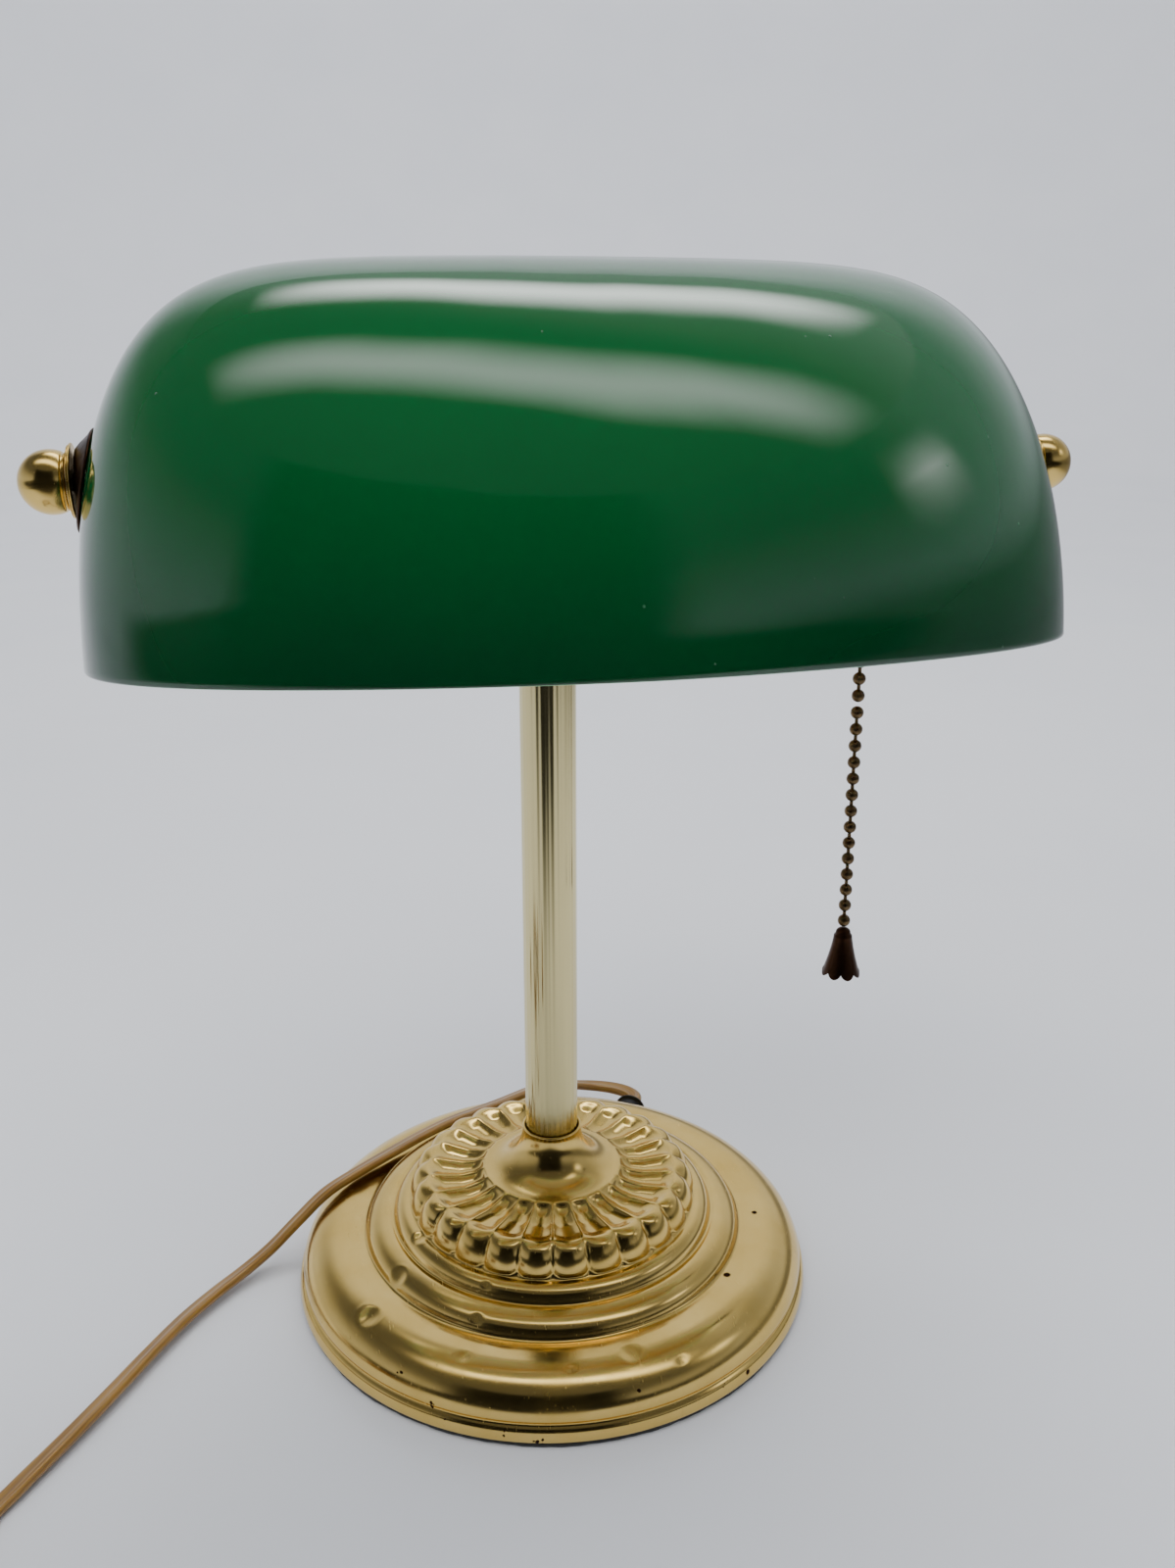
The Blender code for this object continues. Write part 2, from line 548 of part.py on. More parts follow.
def fitted_disc(name, inner, outer, near, far, material, parent, segments=20):
    """A washer about X. near and far give its two faces' reach along X at a place (y, z)."""
    points, faces = [], []
    for radius, reach in ((inner, near), (outer, near), (outer, far), (inner, far)):
        for step in range(segments):
            angle = 2 * math.pi * step / segments
            y, z = radius * math.cos(angle), radius * math.sin(angle)
            points.append((reach(y, z), y, z))
    for row in range(4):
        low, high = row * segments, (row + 1) % 4 * segments
        for step in range(segments):
            after = (step + 1) % segments
            faces.append((low + step, low + after, high + after, high + step))
    return add_mesh(name, points, faces, material, parent)


def build_knobs(materials, shade_pivot):
    slope = (wall_at(0, -1 * MM) - wall_at(0, 1 * MM)) / (2 * MM)
    at_axis = wall_at(0, 0)
    for side, name in ((1, "right"), (-1, "left")):
        outward = (side, 0, 0)
        knob_pivot = pivot(f"{name}_knob_pivot", (YOKE_OFFSET, 0, AXIS_HEIGHT))
        profile = [(0, STUD_INNER), (STUD_RADIUS, STUD_INNER), (STUD_RADIUS, NECK_START + 2.4 * MM), (0, NECK_START + 2.4 * MM)]
        place(turned(f"{name}_stud", profile, materials["steel"], 12), (YOKE_OFFSET, 0, AXIS_HEIGHT), outward)
        high = EAR_OUTER - STRAP_THICKNESS - GAP
        nut = hex_nut(f"{name}_ear_nut", STUD_RADIUS + GAP, 4.6 * MM, high - 3.0 * MM, high, materials["steel"])
        place(nut, (YOKE_OFFSET, 0, AXIS_HEIGHT), outward)

        bore = STUD_RADIUS + 2 * GAP
        cushion = fitted_disc(f"{name}_cushion", bore, CUSHION_RADIUS, lambda y, z: EAR_OUTER + GAP,
                              lambda y, z: wall_at(y, z, GLASS_THICKNESS) - FACET_SAG - GAP, materials["black_rubber"], shade_pivot)
        place(cushion, (0, 0, 0), spin=0.0 if side == 1 else math.pi)

        def dish(lift):
            return lambda y, z: at_axis - slope * z + lift + (CUP_RISE if math.hypot(y, z) < CUP_RADIUS / 2 else 0.0)

        cup = fitted_disc(f"{name}_cup_washer", 3.4 * MM, CUP_RADIUS, dish(0.4 * MM), dish(1.2 * MM), materials["bronze"], shade_pivot)
        place(cup, (0, 0, 0), spin=0.0 if side == 1 else math.pi)
        ring_low, ring_high = RING_INNER, RING_INNER + RING_THICKNESS
        profile = [(bore, ring_low), (3.4 * MM, ring_low), (RING_RADIUS, ring_low + 0.5 * MM)]
        profile += [(RING_RADIUS, ring_high - 0.3 * MM), (RING_RADIUS - 0.5 * MM, ring_high), (bore, ring_high)]
        ring = turned(f"{name}_knob_ring", profile, materials["gold"], 24, shade_pivot)
        place(ring, (0, 0, 0), outward)

        blind = NECK_START + 2.7 * MM
        profile = [(0, blind), (STUD_RADIUS + GAP, blind), (STUD_RADIUS + GAP, NECK_START), (5.0 * MM, NECK_START)]
        profile += [(6.2 * MM, NECK_START + 0.3 * MM), (6.2 * MM, NECK_START + 0.9 * MM), (5.6 * MM, NECK_START + 1.2 * MM)]
        profile += [(BALL_RADIUS * math.cos(a), BALL_CENTRE + BALL_RADIUS * math.sin(a))
                    for a in [math.radians(t) for t in range(-20, 90, 22)]]
        profile += [(0, BALL_CENTRE + BALL_RADIUS)]
        knob = turned(f"{name}_knob", profile, materials["gold"], 20, knob_pivot)
        place(knob, (0, 0, 0), outward)


# --- Socket and bulb -------------------------------------------------------------------------------------

def build_socket(materials, guide_axis):
    """Every piece is turned about the knob axis, with heights measured from the shade's middle towards +X."""
    axis_point, along = Vector((YOKE_OFFSET, 0, AXIS_HEIGHT)), (1, 0, 0)

    def add(name, profile, material, segments=24):
        return place(turned(name, profile, materials[material], segments), axis_point, along)

    back = BRACKET_FACE - GAP
    bore = ROD_RADIUS + GAP
    add("socket_nipple", tube_profile(ROD_BORE, ROD_RADIUS, back - 3.4 * MM, BRACKET_FACE + 6.0 * MM), "steel", 20)
    nut_low = BRACKET_FACE + BRACKET_THICKNESS + GAP
    place(hex_nut("nipple_nut", bore, 7.6 * MM, nut_low, nut_low + 2.7 * MM, materials["steel"]), axis_point, along)

    wall = SOCKET_WALL
    shell_out = SOCKET_RADIUS
    cap_in = shell_out + GAP
    profile = [(bore, back), (10.5 * MM, back), (cap_in - 1.0 * MM, back - 2.8 * MM), (cap_in + wall, back - 5.4 * MM)]
    profile += [(cap_in + wall, CAP_RIM), (cap_in, CAP_RIM), (cap_in, back - 5.4 * MM), (10.0 * MM, back - wall)]
    profile += [(bore, back - wall)]
    add("socket_cap", profile, "brass", 28)

    top = back - 6.0 * MM
    profile = [(shell_out, SOCKET_MOUTH + 1.6 * MM), (shell_out + 0.8 * MM, SOCKET_MOUTH + 0.8 * MM)]
    profile += [(shell_out, SOCKET_MOUTH), (shell_out - wall, SOCKET_MOUTH), (shell_out - wall, top), (shell_out, top)]
    shell = add("socket_shell", profile, "brass", 28)
    liner_out = shell_out - wall - GAP
    liner_in = liner_out - 0.5 * MM
    liner = add("socket_liner", tube_profile(liner_in, liner_out, SOCKET_MOUTH + 2.0 * MM, top - 0.5 * MM), "fibre", 28)

    body_out = liner_in - GAP
    body_low, body_high = BRACKET_FACE - 21.5 * MM, top - 1.4 * MM
    drum_bore = 8.5 * MM
    profile = [(0, body_high), (body_out, body_high), (body_out, body_low), (drum_bore, body_low)]
    profile += [(drum_bore, body_high - 2.6 * MM), (0, body_high - 2.6 * MM)]
    body = add("switch_body", profile, "phenolic", 24)
    at_guide = axis_point + Vector((GUIDE_AT, 0, 0))
    for target, name in ((shell, "shell"), (liner, "liner"), (body, "body")):
        drill = turned(f"{name}_guide_cutter", solid_profile(GUIDE_RADIUS + GAP, 6.6 * MM, SOCKET_RADIUS + 3.0 * MM), materials["brass"], 16)
        cut(target, place(drill, at_guide, guide_axis))

    plate_high = body_low - GAP
    add("contact_plate", solid_profile(body_out, plate_high - 1.5 * MM, plate_high), "phenolic")
    leaf = plate_high - 1.5 * MM - GAP
    add("centre_contact", [(0, leaf), (3.0 * MM, leaf), (2.2 * MM, leaf - 0.6 * MM), (0, leaf - 0.6 * MM)], "copper", 16)
    screw_in = SCREW_RADIUS + 0.45 * MM
    add("screw_shell", tube_profile(screw_in, screw_in + 0.5 * MM, SOCKET_MOUTH + 3.5 * MM, leaf), "copper", 28)

    guide = [(GUIDE_BORE, 10.0 * MM), (GUIDE_RADIUS, 10.0 * MM), (GUIDE_RADIUS, GUIDE_REACH - 1.6 * MM)]
    guide += [(GUIDE_RADIUS + 1.2 * MM, GUIDE_REACH - 0.6 * MM), (GUIDE_RADIUS + 1.0 * MM, GUIDE_REACH)]
    guide += [(GUIDE_BORE + 0.6 * MM, GUIDE_REACH - 0.2 * MM), (GUIDE_BORE, GUIDE_REACH - 1.2 * MM)]
    place(turned("chain_guide", guide, materials["brass"], 16), at_guide, guide_axis)

    drum_pivot = pivot("switch_drum_pivot", at_guide)
    drum = turned("switch_drum", solid_profile(DRUM_RADIUS, -4.0 * MM, 4.0 * MM), materials["phenolic"], 16, drum_pivot)
    place(drum, (0, 0, 0), along)

    contact_end = leaf - 0.6 * MM - GAP
    bulb_pivot = pivot("bulb_pivot", axis_point)
    button = [(0, contact_end), (3.4 * MM, contact_end - 0.4 * MM), (3.4 * MM, contact_end - 1.1 * MM), (0, contact_end - 1.1 * MM)]
    place(turned("bulb_contact", button, materials["solder"], 16, bulb_pivot), (0, 0, 0), along)
    cap_top = contact_end - 1.1 * MM - GAP
    cap_low = cap_top - 23.0 * MM
    profile = [(0, cap_top), (5.0 * MM, cap_top), (11.6 * MM, cap_top - 3.6 * MM)]
    for turn in range(5):
        crest = cap_top - 4.6 * MM - turn * 3.2 * MM
        profile += [(SCREW_RADIUS, crest), (SCREW_RADIUS - 0.7 * MM, crest - 1.6 * MM)]
    profile += [(SCREW_RADIUS - 0.3 * MM, cap_low), (0, cap_low)]
    place(turned("bulb_cap", profile, materials["aluminium"], 24, bulb_pivot), (0, 0, 0), along)

    wall, neck = 0.9 * MM, SCREW_RADIUS - 0.8 * MM
    glass_top = cap_low - GAP
    tip_centre = BULB_TIP + BULB_RADIUS
    angles = [math.radians(a) for a in range(0, 76, 15)]
    outside = [(neck, glass_top), (neck, glass_top - 2 * MM), (BULB_RADIUS, BULB_SHOULDER)]
    outside += [(BULB_RADIUS * math.cos(a), tip_centre - BULB_RADIUS * math.sin(a)) for a in angles]
    inside = [(0, BULB_TIP + wall)]
    inside += [((BULB_RADIUS - wall) * math.cos(a), tip_centre - (BULB_RADIUS - wall) * math.sin(a)) for a in reversed(angles)]
    inside += [(BULB_RADIUS - wall, BULB_SHOULDER), (neck - wall, glass_top - 2 * MM), (neck - wall, glass_top)]
    profile = outside + [(0, BULB_TIP)]
    glass = turned_shell("bulb_glass", profile, inside, materials["bulb_glass"], 24, bulb_pivot)
    place(glass, (0, 0, 0), along)


def turned_shell(name, outside, inside, material, segments, parent):
    """A cup: an outer line that ends on the axis and an inner line that starts there, joined at the mouth."""
    points, faces, rows = [], [], []
    for radius, height in outside + inside:
        if radius < 1e-9:
            rows.append([len(points)] * segments)
            points.append((0, 0, height))
            continue
        rows.append(list(range(len(points), len(points) + segments)))
        angles = [2 * math.pi * step / segments for step in range(segments)]
        points.extend((radius * math.cos(a), radius * math.sin(a), height) for a in angles)
    count = len(outside)
    pairs = [(i, i + 1) for i in range(len(rows) - 1) if i != count - 1] + [(len(rows) - 1, 0)]
    for low, high in pairs:
        for step in range(segments):
            after = (step + 1) % segments
            corners = [rows[low][step], rows[low][after], rows[high][after], rows[high][step]]
            faces.append([c for index, c in enumerate(corners) if c not in corners[:index]])
    return add_mesh(name, points, faces, material, parent)


# --- Chain -----------------------------------------------------------------------------------------------

def bead_profile(centres):
    """Balls on a wire, turned as one piece. The centres run from low to high."""
    profile = [(0, centres[0] - BEAD_RADIUS)]
    for index, centre in enumerate(centres):
        dip = math.asin(LINK_RADIUS / BEAD_RADIUS)
        first = -math.pi / 2 + (dip if index else math.radians(45))
        last = math.pi / 2 - (dip if index < len(centres) - 1 else math.radians(45))
        steps = 3
        for step in range(steps + 1):
            angle = first + (last - first) * step / steps
            profile.append((BEAD_RADIUS * math.cos(angle), centre + BEAD_RADIUS * math.sin(angle)))
    return profile + [(0, centres[-1] + BEAD_RADIUS)]


def build_chain(materials, guide_axis):
    at_guide = Vector((YOKE_OFFSET + GUIDE_AT, 0, AXIS_HEIGHT))
    knee = at_guide + Vector(guide_axis) * KNEE_REACH
    pull_pivot = pivot("chain_pull_pivot", knee)
    stub = turned("chain_stub", bead_profile([-index * BEAD_PITCH for index in range(STUB_BEADS - 1, -1, -1)]),
                  materials["bronze"], 6, pull_pivot)
    place(stub, (0, 0, 0), guide_axis)

    def hanging(name, first, count, parent, origin):
        drops = [-(first + index) * BEAD_PITCH - origin for index in range(count - 1, -1, -1)]
        return turned(name, bead_profile(drops), materials["bronze"], 6, parent)

    upper_pivot = pivot("chain_side_pivot", knee)
    hanging("chain_upper", 1, UPPER_BEADS, upper_pivot, 0.0)
    bend = -(UPPER_BEADS + 0.5) * BEAD_PITCH
    lower_pivot = pivot("chain_front_pivot", knee + Vector((0, 0, bend)))
    hanging("chain_lower", UPPER_BEADS + 1, LOWER_BEADS, lower_pivot, bend)

    def scallops(index, radius, angle):
        return radius * (1.0 + 0.06 * math.cos(8 * angle)) if index in (3, 4) else radius

    last = -(UPPER_BEADS + LOWER_BEADS) * BEAD_PITCH - bend
    top = last - BEAD_RADIUS - GAP
    low = top - BELL_LENGTH
    profile = [(0, top), (2.3 * MM, top - 0.4 * MM), (2.9 * MM, top - 3.5 * MM), (BELL_RADIUS - 0.5 * MM, low + 2.5 * MM)]
    profile += [(BELL_RADIUS, low), (BELL_RADIUS - 0.9 * MM, low), (2.0 * MM, top - 4.4 * MM), (0, top - 3.2 * MM)]
    turned("pendant_bell", profile, materials["bronze"], 16, lower_pivot, scallops)


# --- Cord ------------------------------------------------------------------------------------------------

def build_cord(materials):
    amber = materials["amber"]
    outside = smooth_route([Vector(p) * MM for p in CORD_ROUTE], 5.2 * MM)
    tube_along("cord_lead", outside, CORD_RADIUS, amber)

    outward = Vector((math.cos(EXIT_AZIMUTH), math.sin(EXIT_AZIMUTH), 0))
    route = [outward * reach * MM + Vector((0, 0, height * MM)) for reach, height in INNER_ROUTE[:-2]]
    rise = [Vector((0, 0, height * MM)) for height in (40.0, 110.0, 165.0)]
    top = Vector((0, 0, ROD_TOP))
    bar = ROD_TOP + 3.2 * MM
    at_nipple = YOKE_OFFSET + BRACKET_FACE + 6.0 * MM
    turn_back = at_nipple + 3.6 * MM
    over = [top, Vector((1.2 * MM, 1.2 * MM, bar - 0.7 * MM)), Vector((5 * MM, 2.8 * MM, bar)),
            Vector((12 * MM, 3.2 * MM, bar - 0.6 * MM)), Vector((60 * MM, 3.2 * MM, bar - 1.4 * MM)),
            Vector((at_nipple - 13 * MM, 7.6 * MM, bar - 1.2 * MM)), Vector((at_nipple - 2 * MM, 6.8 * MM, bar - 1.0 * MM)),
            Vector((turn_back - 0.6 * MM, 2.8 * MM, bar + 2.4 * MM)), Vector((turn_back, 0.6 * MM, AXIS_HEIGHT - 7 * MM)),
            Vector((turn_back - 0.6 * MM, 0, AXIS_HEIGHT - 3.2 * MM)), Vector((at_nipple + 1.2 * MM, 0, AXIS_HEIGHT - 0.4 * MM)),
            Vector((at_nipple - 3.0 * MM, 0, AXIS_HEIGHT)), Vector((at_nipple - 7.0 * MM, 0, AXIS_HEIGHT))]
    tube_along("inner_cord", smooth_route(route + rise + over, 7.0 * MM), LEAD_RADIUS, amber)

    tail = smooth_route([Vector(p) * MM for p in TAIL_ROUTE], 5.2 * MM)
    tube_along("cord_tail", tail, CORD_RADIUS, amber)
    width, low, high, bevel = COIL_HALF_WIDTH, COIL_BOTTOM, COIL_TOP, 2.0 * MM
    inner, outer = COIL_RADIUS - width, COIL_RADIUS + width
    profile = [(inner + bevel, low), (outer - bevel, low), (outer, low + bevel), (outer, high - bevel)]
    profile += [(outer - bevel, high), (inner + bevel, high), (inner, high - bevel), (inner, low + bevel)]
    place(turned("cord_coil", profile, amber, 32), COIL_CENTRE)

    tie_inner, tie_wall = (COIL_HALF_WIDTH + GAP, (COIL_TOP - COIL_BOTTOM) / 2 + GAP), 0.7 * MM
    middle = (COIL_TOP + COIL_BOTTOM) / 2
    rings = []
    for grow in (0.0, tie_wall):
        rings.append([(sx * (tie_inner[0] + grow), sz * (tie_inner[1] + grow))
                      for sx, sz in ((-1, -1), (1, -1), (1, 1), (-1, 1))])
    outline_points = [(x, side * 1.6 * MM, z) for ring in rings for side in (-1, 1) for x, z in ring]
    faces = []
    for corner in range(4):
        after = (corner + 1) % 4
        faces.append((corner, after, 4 + after, 4 + corner))
        faces.append((8 + corner, 8 + after, 12 + after, 12 + corner))
        faces.append((corner, after, 8 + after, 8 + corner))
        faces.append((4 + corner, 4 + after, 12 + after, 12 + corner))
    tie = add_mesh("cord_tie", outline_points, faces, materials["black_rubber"])
    angle = math.radians(250)
    spot = COIL_CENTRE + Vector((math.cos(angle), math.sin(angle), 0)) * COIL_RADIUS + Vector((0, 0, middle))
    place(tie, spot, spin=angle)


def build_plug(materials):
    heading = Vector((math.cos(PLUG_HEADING), math.sin(PLUG_HEADING), 0))
    body = block("plug_body", PLUG_SIZE, materials["brown_plastic"], 2.5 * MM)
    place(body, PLUG_BACK, spin=PLUG_HEADING)
    across = Vector((-heading.y, heading.x, 0))
    for name, side in (("plug_blade_left", 1), ("plug_blade_right", -1)):
        blade = block(name, BLADE_SIZE, materials["brass"])
        spot = PLUG_BACK + heading * (PLUG_SIZE[0] + GAP) + across * side * BLADE_SPACING / 2
        place(blade, spot, spin=PLUG_HEADING)


def make_materials():
    return {
        "gold": make_material("polished_brass_plate", 0.83, 0.62, 0.25, 1.0, 0.12),
        "pale_gold": make_material("pale_brass_tube", 0.86, 0.75, 0.47, 1.0, 0.2),
        "brass": make_material("plain_brass", 0.72, 0.55, 0.25, 1.0, 0.3),
        "bronze": make_material("antique_bronze", 0.22, 0.14, 0.08, 1.0, 0.4),
        "steel": make_material("zinc_steel", 0.6, 0.6, 0.62, 1.0, 0.35),
        "copper": make_material("contact_copper", 0.75, 0.45, 0.3, 1.0, 0.35),
        "aluminium": make_material("cap_aluminium", 0.78, 0.78, 0.8, 1.0, 0.3),
        "solder": make_material("solder", 0.65, 0.65, 0.67, 1.0, 0.4),
        "iron": make_material("cast_iron", 0.09, 0.09, 0.09, 0.6, 0.7),
        "felt": make_material("dark_felt", 0.03, 0.035, 0.03, 0.0, 0.95),
        "green_glass": make_material("green_cased_glass", 0.003, 0.11, 0.02, 0.0, 0.08),
        "bulb_glass": make_material("frosted_glass", 0.9, 0.88, 0.84, 0.0, 0.35),
        "phenolic": make_material("black_phenolic", 0.02, 0.018, 0.016, 0.0, 0.4),
        "fibre": make_material("fibre_paper", 0.35, 0.27, 0.18, 0.0, 0.9),
        "black_rubber": make_material("black_rubber", 0.02, 0.02, 0.02, 0.0, 0.6),
        "amber": make_material("amber_vinyl", 0.55, 0.32, 0.08, 0.0, 0.3),
        "brown_plastic": make_material("brown_plastic", 0.09, 0.04, 0.02, 0.0, 0.4),
    }


def main():
    clear_scene()
    materials = make_materials()
    guide_axis = (0, -math.sin(GUIDE_LEAN), -math.cos(GUIDE_LEAN))
    shade_pivot = pivot("shade_pivot", (YOKE_OFFSET, 0, AXIS_HEIGHT), (SHADE_TILT, 0, 0))
    build_base(materials)
    build_stem(materials)
    build_yoke(materials)
    build_shade(materials, shade_pivot)
    build_knobs(materials, shade_pivot)
    build_socket(materials, guide_axis)
    build_chain(materials, guide_axis)
    build_cord(materials)
    build_plug(materials)


if __name__ == "__main__":
    main()
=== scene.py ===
"""Builds the finished look of a banker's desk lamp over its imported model, piece by piece.

Every shape is worked out in millimetres, in the lamp's own frame: +X along the shade, -Y to the front, +Z up.
"""

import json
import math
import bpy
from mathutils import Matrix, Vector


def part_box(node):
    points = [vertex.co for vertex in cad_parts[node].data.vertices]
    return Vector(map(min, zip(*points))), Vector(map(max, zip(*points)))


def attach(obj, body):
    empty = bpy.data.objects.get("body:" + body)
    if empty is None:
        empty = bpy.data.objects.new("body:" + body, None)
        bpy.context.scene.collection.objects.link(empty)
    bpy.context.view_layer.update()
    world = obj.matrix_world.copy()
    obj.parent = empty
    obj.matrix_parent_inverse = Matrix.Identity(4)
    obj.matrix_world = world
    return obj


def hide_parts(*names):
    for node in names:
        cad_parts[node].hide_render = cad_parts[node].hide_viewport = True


bl_info = {
    "name": "Banker's Desk Lamp",
    "version": (1, 0, 0),
    "blender": (4, 5, 0),
    "location": "3D View > Sidebar > Lamp",
    "description": "Builds the finished pieces of a banker's desk lamp over its packed model",
    "category": "Add Mesh",
}

import bpy
import numpy as np
from bpy.props import FloatProperty, FloatVectorProperty, IntProperty, PointerProperty
from mathutils import Matrix, Vector

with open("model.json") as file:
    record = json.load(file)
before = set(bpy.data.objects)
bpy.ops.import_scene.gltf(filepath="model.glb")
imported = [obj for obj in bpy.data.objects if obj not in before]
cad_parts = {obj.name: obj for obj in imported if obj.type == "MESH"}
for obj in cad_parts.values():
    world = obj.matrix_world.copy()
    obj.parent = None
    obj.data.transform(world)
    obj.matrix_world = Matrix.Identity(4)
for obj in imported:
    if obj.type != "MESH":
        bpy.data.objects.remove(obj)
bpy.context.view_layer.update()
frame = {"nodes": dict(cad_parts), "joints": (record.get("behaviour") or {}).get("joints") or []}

MM = 0.001
TAU = 2 * math.pi
JOINTS = {joint["name"]: joint for joint in frame["joints"]}
KNOB_AXIS = np.array(JOINTS["shade_tilt"]["pos_m"]) / MM  # the middle of the shade, on the knobs' own axis
CHAIN_KNEE = np.array(JOINTS["chain_swing_side"]["pos_m"]) / MM
CHAIN_BEND = np.array(JOINTS["chain_swing_front"]["pos_m"]) / MM
GUIDE_AXIS = np.array(JOINTS["chain_pull"]["axis"])
SHADE_TILT = math.radians(-5.5)
SHADE_DROP = 38.9  # from the knobs' axis down to the rim, in the shade's own frame
NUT_BORE = 5.15  # holes of the stem's and the socket's nuts, washers and straps, over a rod of 9.7 mm
STUD_BORE = 2.3
EXIT_AZIMUTH = math.radians(58.0)
EXIT_HEIGHT = 7.5
BEAD_RADIUS = 1.6
BEAD_PITCH = 4.233
UP = np.array((0.0, 0.0, 1.0))


def linear(code):
    """Turns an sRGB hex colour into Blender's linear red, green, blue and alpha."""
    parts = [int(code[place:place + 2], 16) / 255 for place in (1, 3, 5)]
    return tuple(c / 12.92 if c <= 0.04045 else ((c + 0.055) / 1.055) ** 2.4 for c in parts) + (1.0,)


def colour(name, text, code):
    """A colour setting whose default is an sRGB hex colour."""
    return FloatVectorProperty(name=name, description=text, subtype="COLOR", size=4, min=0, max=1,
                               default=linear(code))


def size(name, text, value, low=0.01, high=500.0):
    """A size setting in the unit that its description names."""
    return FloatProperty(name=name, description=text, default=value, min=low, max=high)


# --- Settings ---------------------------------------------------------------------------------------------

class LampBaseSettings(bpy.types.PropertyGroup):
    radius: size("Foot radius", "Radius of the base at its skirt, in millimetres", 68.2)
    lobe_depth: size("Lobe depth", "How far the crown's lobes stand out, in millimetres", 1.6)
    flute_depth: size("Flute depth", "How far the flutes inside the crown sink, in millimetres", 1.35)
    lobes: IntProperty(name="Lobes", description="How many lobes go round the crown", default=26, min=8, max=48)
    brass: colour("Brass", "Polished and lacquered brass plate", "#E8CA7E")
    speck: colour("Specks", "Corrosion under the lacquer", "#3A2416")
    felt: colour("Felt", "Felt under the foot", "#1C1E1C")


class LampStemSettings(bpy.types.PropertyGroup):
    radius: size("Stem radius", "Radius over the reeds, in millimetres", 6.85)
    reed_depth: size("Reed depth", "Depth of the grooves between the reeds, in millimetres", 0.07)
    reeds: IntProperty(name="Reeds", description="How many reeds go round the stem", default=30, min=8, max=80)
    tube: colour("Tube", "Pale brass of the stem", "#D9CB94")
    strap: colour("Strap", "Satin brass of the yoke and the socket", "#D9B56C")


class LampShadeSettings(bpy.types.PropertyGroup):
    half_length: size("Half length", "From the shade's middle to its end, in millimetres", 111.1)
    half_width: size("Half width", "From the shade's middle to its front, in millimetres", 68.3)
    height: size("Height", "From the rim to the top, in millimetres", 84.6)
    glass: size("Glass", "Thickness of the glass, in millimetres", 3.0)
    green: colour("Green", "Outer layer of the cased glass", "#045F2A")
    # Deep green is both where the outer layer is thickest and the painted shade low down on the glass.
    deep_green_and_low_shade: colour("Deep green", "Where the outer layer is thickest", "#022A17")
    opal: colour("Opal", "Inner layer of the cased glass", "#EEF3EA")
    edge: colour("Edge", "Ground rim where both layers show", "#8FD0A6")


class LampFittingSettings(bpy.types.PropertyGroup):
    ball_radius: size("Ball radius", "Radius of the end knobs, in millimetres", 6.85)
    socket_radius: size("Socket radius", "Radius of the socket's shell, in millimetres", 16.3)
    bulb_radius: size("Bulb radius", "Radius of the tubular bulb, in millimetres", 15.2)
    bronze: colour("Bronze", "Antique bronze of the chain, the bell and the cup washers", "#7A6547")
    steel: colour("Steel", "Zinc-plated steel", "#B9BCC0")
    copper: colour("Copper", "Bare contact metal", "#D69A6B")
    frosted: colour("Frosted glass", "Bulb glass, frosted inside", "#F2EFE8")
    phenolic: colour("Phenolic", "Moulded switch body", "#1A1614")
    fibre: colour("Fibre", "Insulating paper liner", "#8A7758")
    rubber: colour("Rubber", "Cushions, bushing and cord tie", "#161616")


class LampCordSettings(bpy.types.PropertyGroup):
    width: size("Cord width", "Across both conductors, in millimetres", 4.8)
    length: size("Cord length", "From the bushing to the plug, in metres", 1.8, 0.3, 5.0)
    amber: colour("Amber vinyl", "Clear gold insulation over the strands", "#8C6626")
    strand: colour("Strands", "Copper strands seen through the insulation", "#55350F")
    plug: colour("Plug", "Moulded plug body", "#3B2416")


class LampStageSettings(bpy.types.PropertyGroup):
    floor: colour("Sweep", "Paper sweep under and behind the lamp", "#E4E5E8")
    lens: size("Lens", "Focal length in millimetres, with 36 mm along the frame's longer side", 31.275, 5, 200)


# --- Helpers ----------------------------------------------------------------------------------------------

def add(tree, kind, settings=None, inputs=None):
    """Adds one node, sets its own properties, and gives each named input a value or a link."""
    node = tree.nodes.new(kind)
    for name, value in (settings or {}).items():
        setattr(node, name, value)
    for name, value in (inputs or {}).items():
        if isinstance(value, bpy.types.NodeSocket):
            tree.links.new(value, node.inputs[name])
        else:
            node.inputs[name].default_value = value
    return node


def new_material(name, **values):
    """A material with one Principled shader. The values set its sockets, with spaces written as underscores."""
    material = bpy.data.materials.new(name)
    material.use_nodes = True
    shader = material.node_tree.nodes["Principled BSDF"]
    for socket, value in values.items():
        shader.inputs[socket.replace("_", " ")].default_value = value
    material.diffuse_color = tuple(shader.inputs["Base Color"].default_value)
    return material, material.node_tree, shader


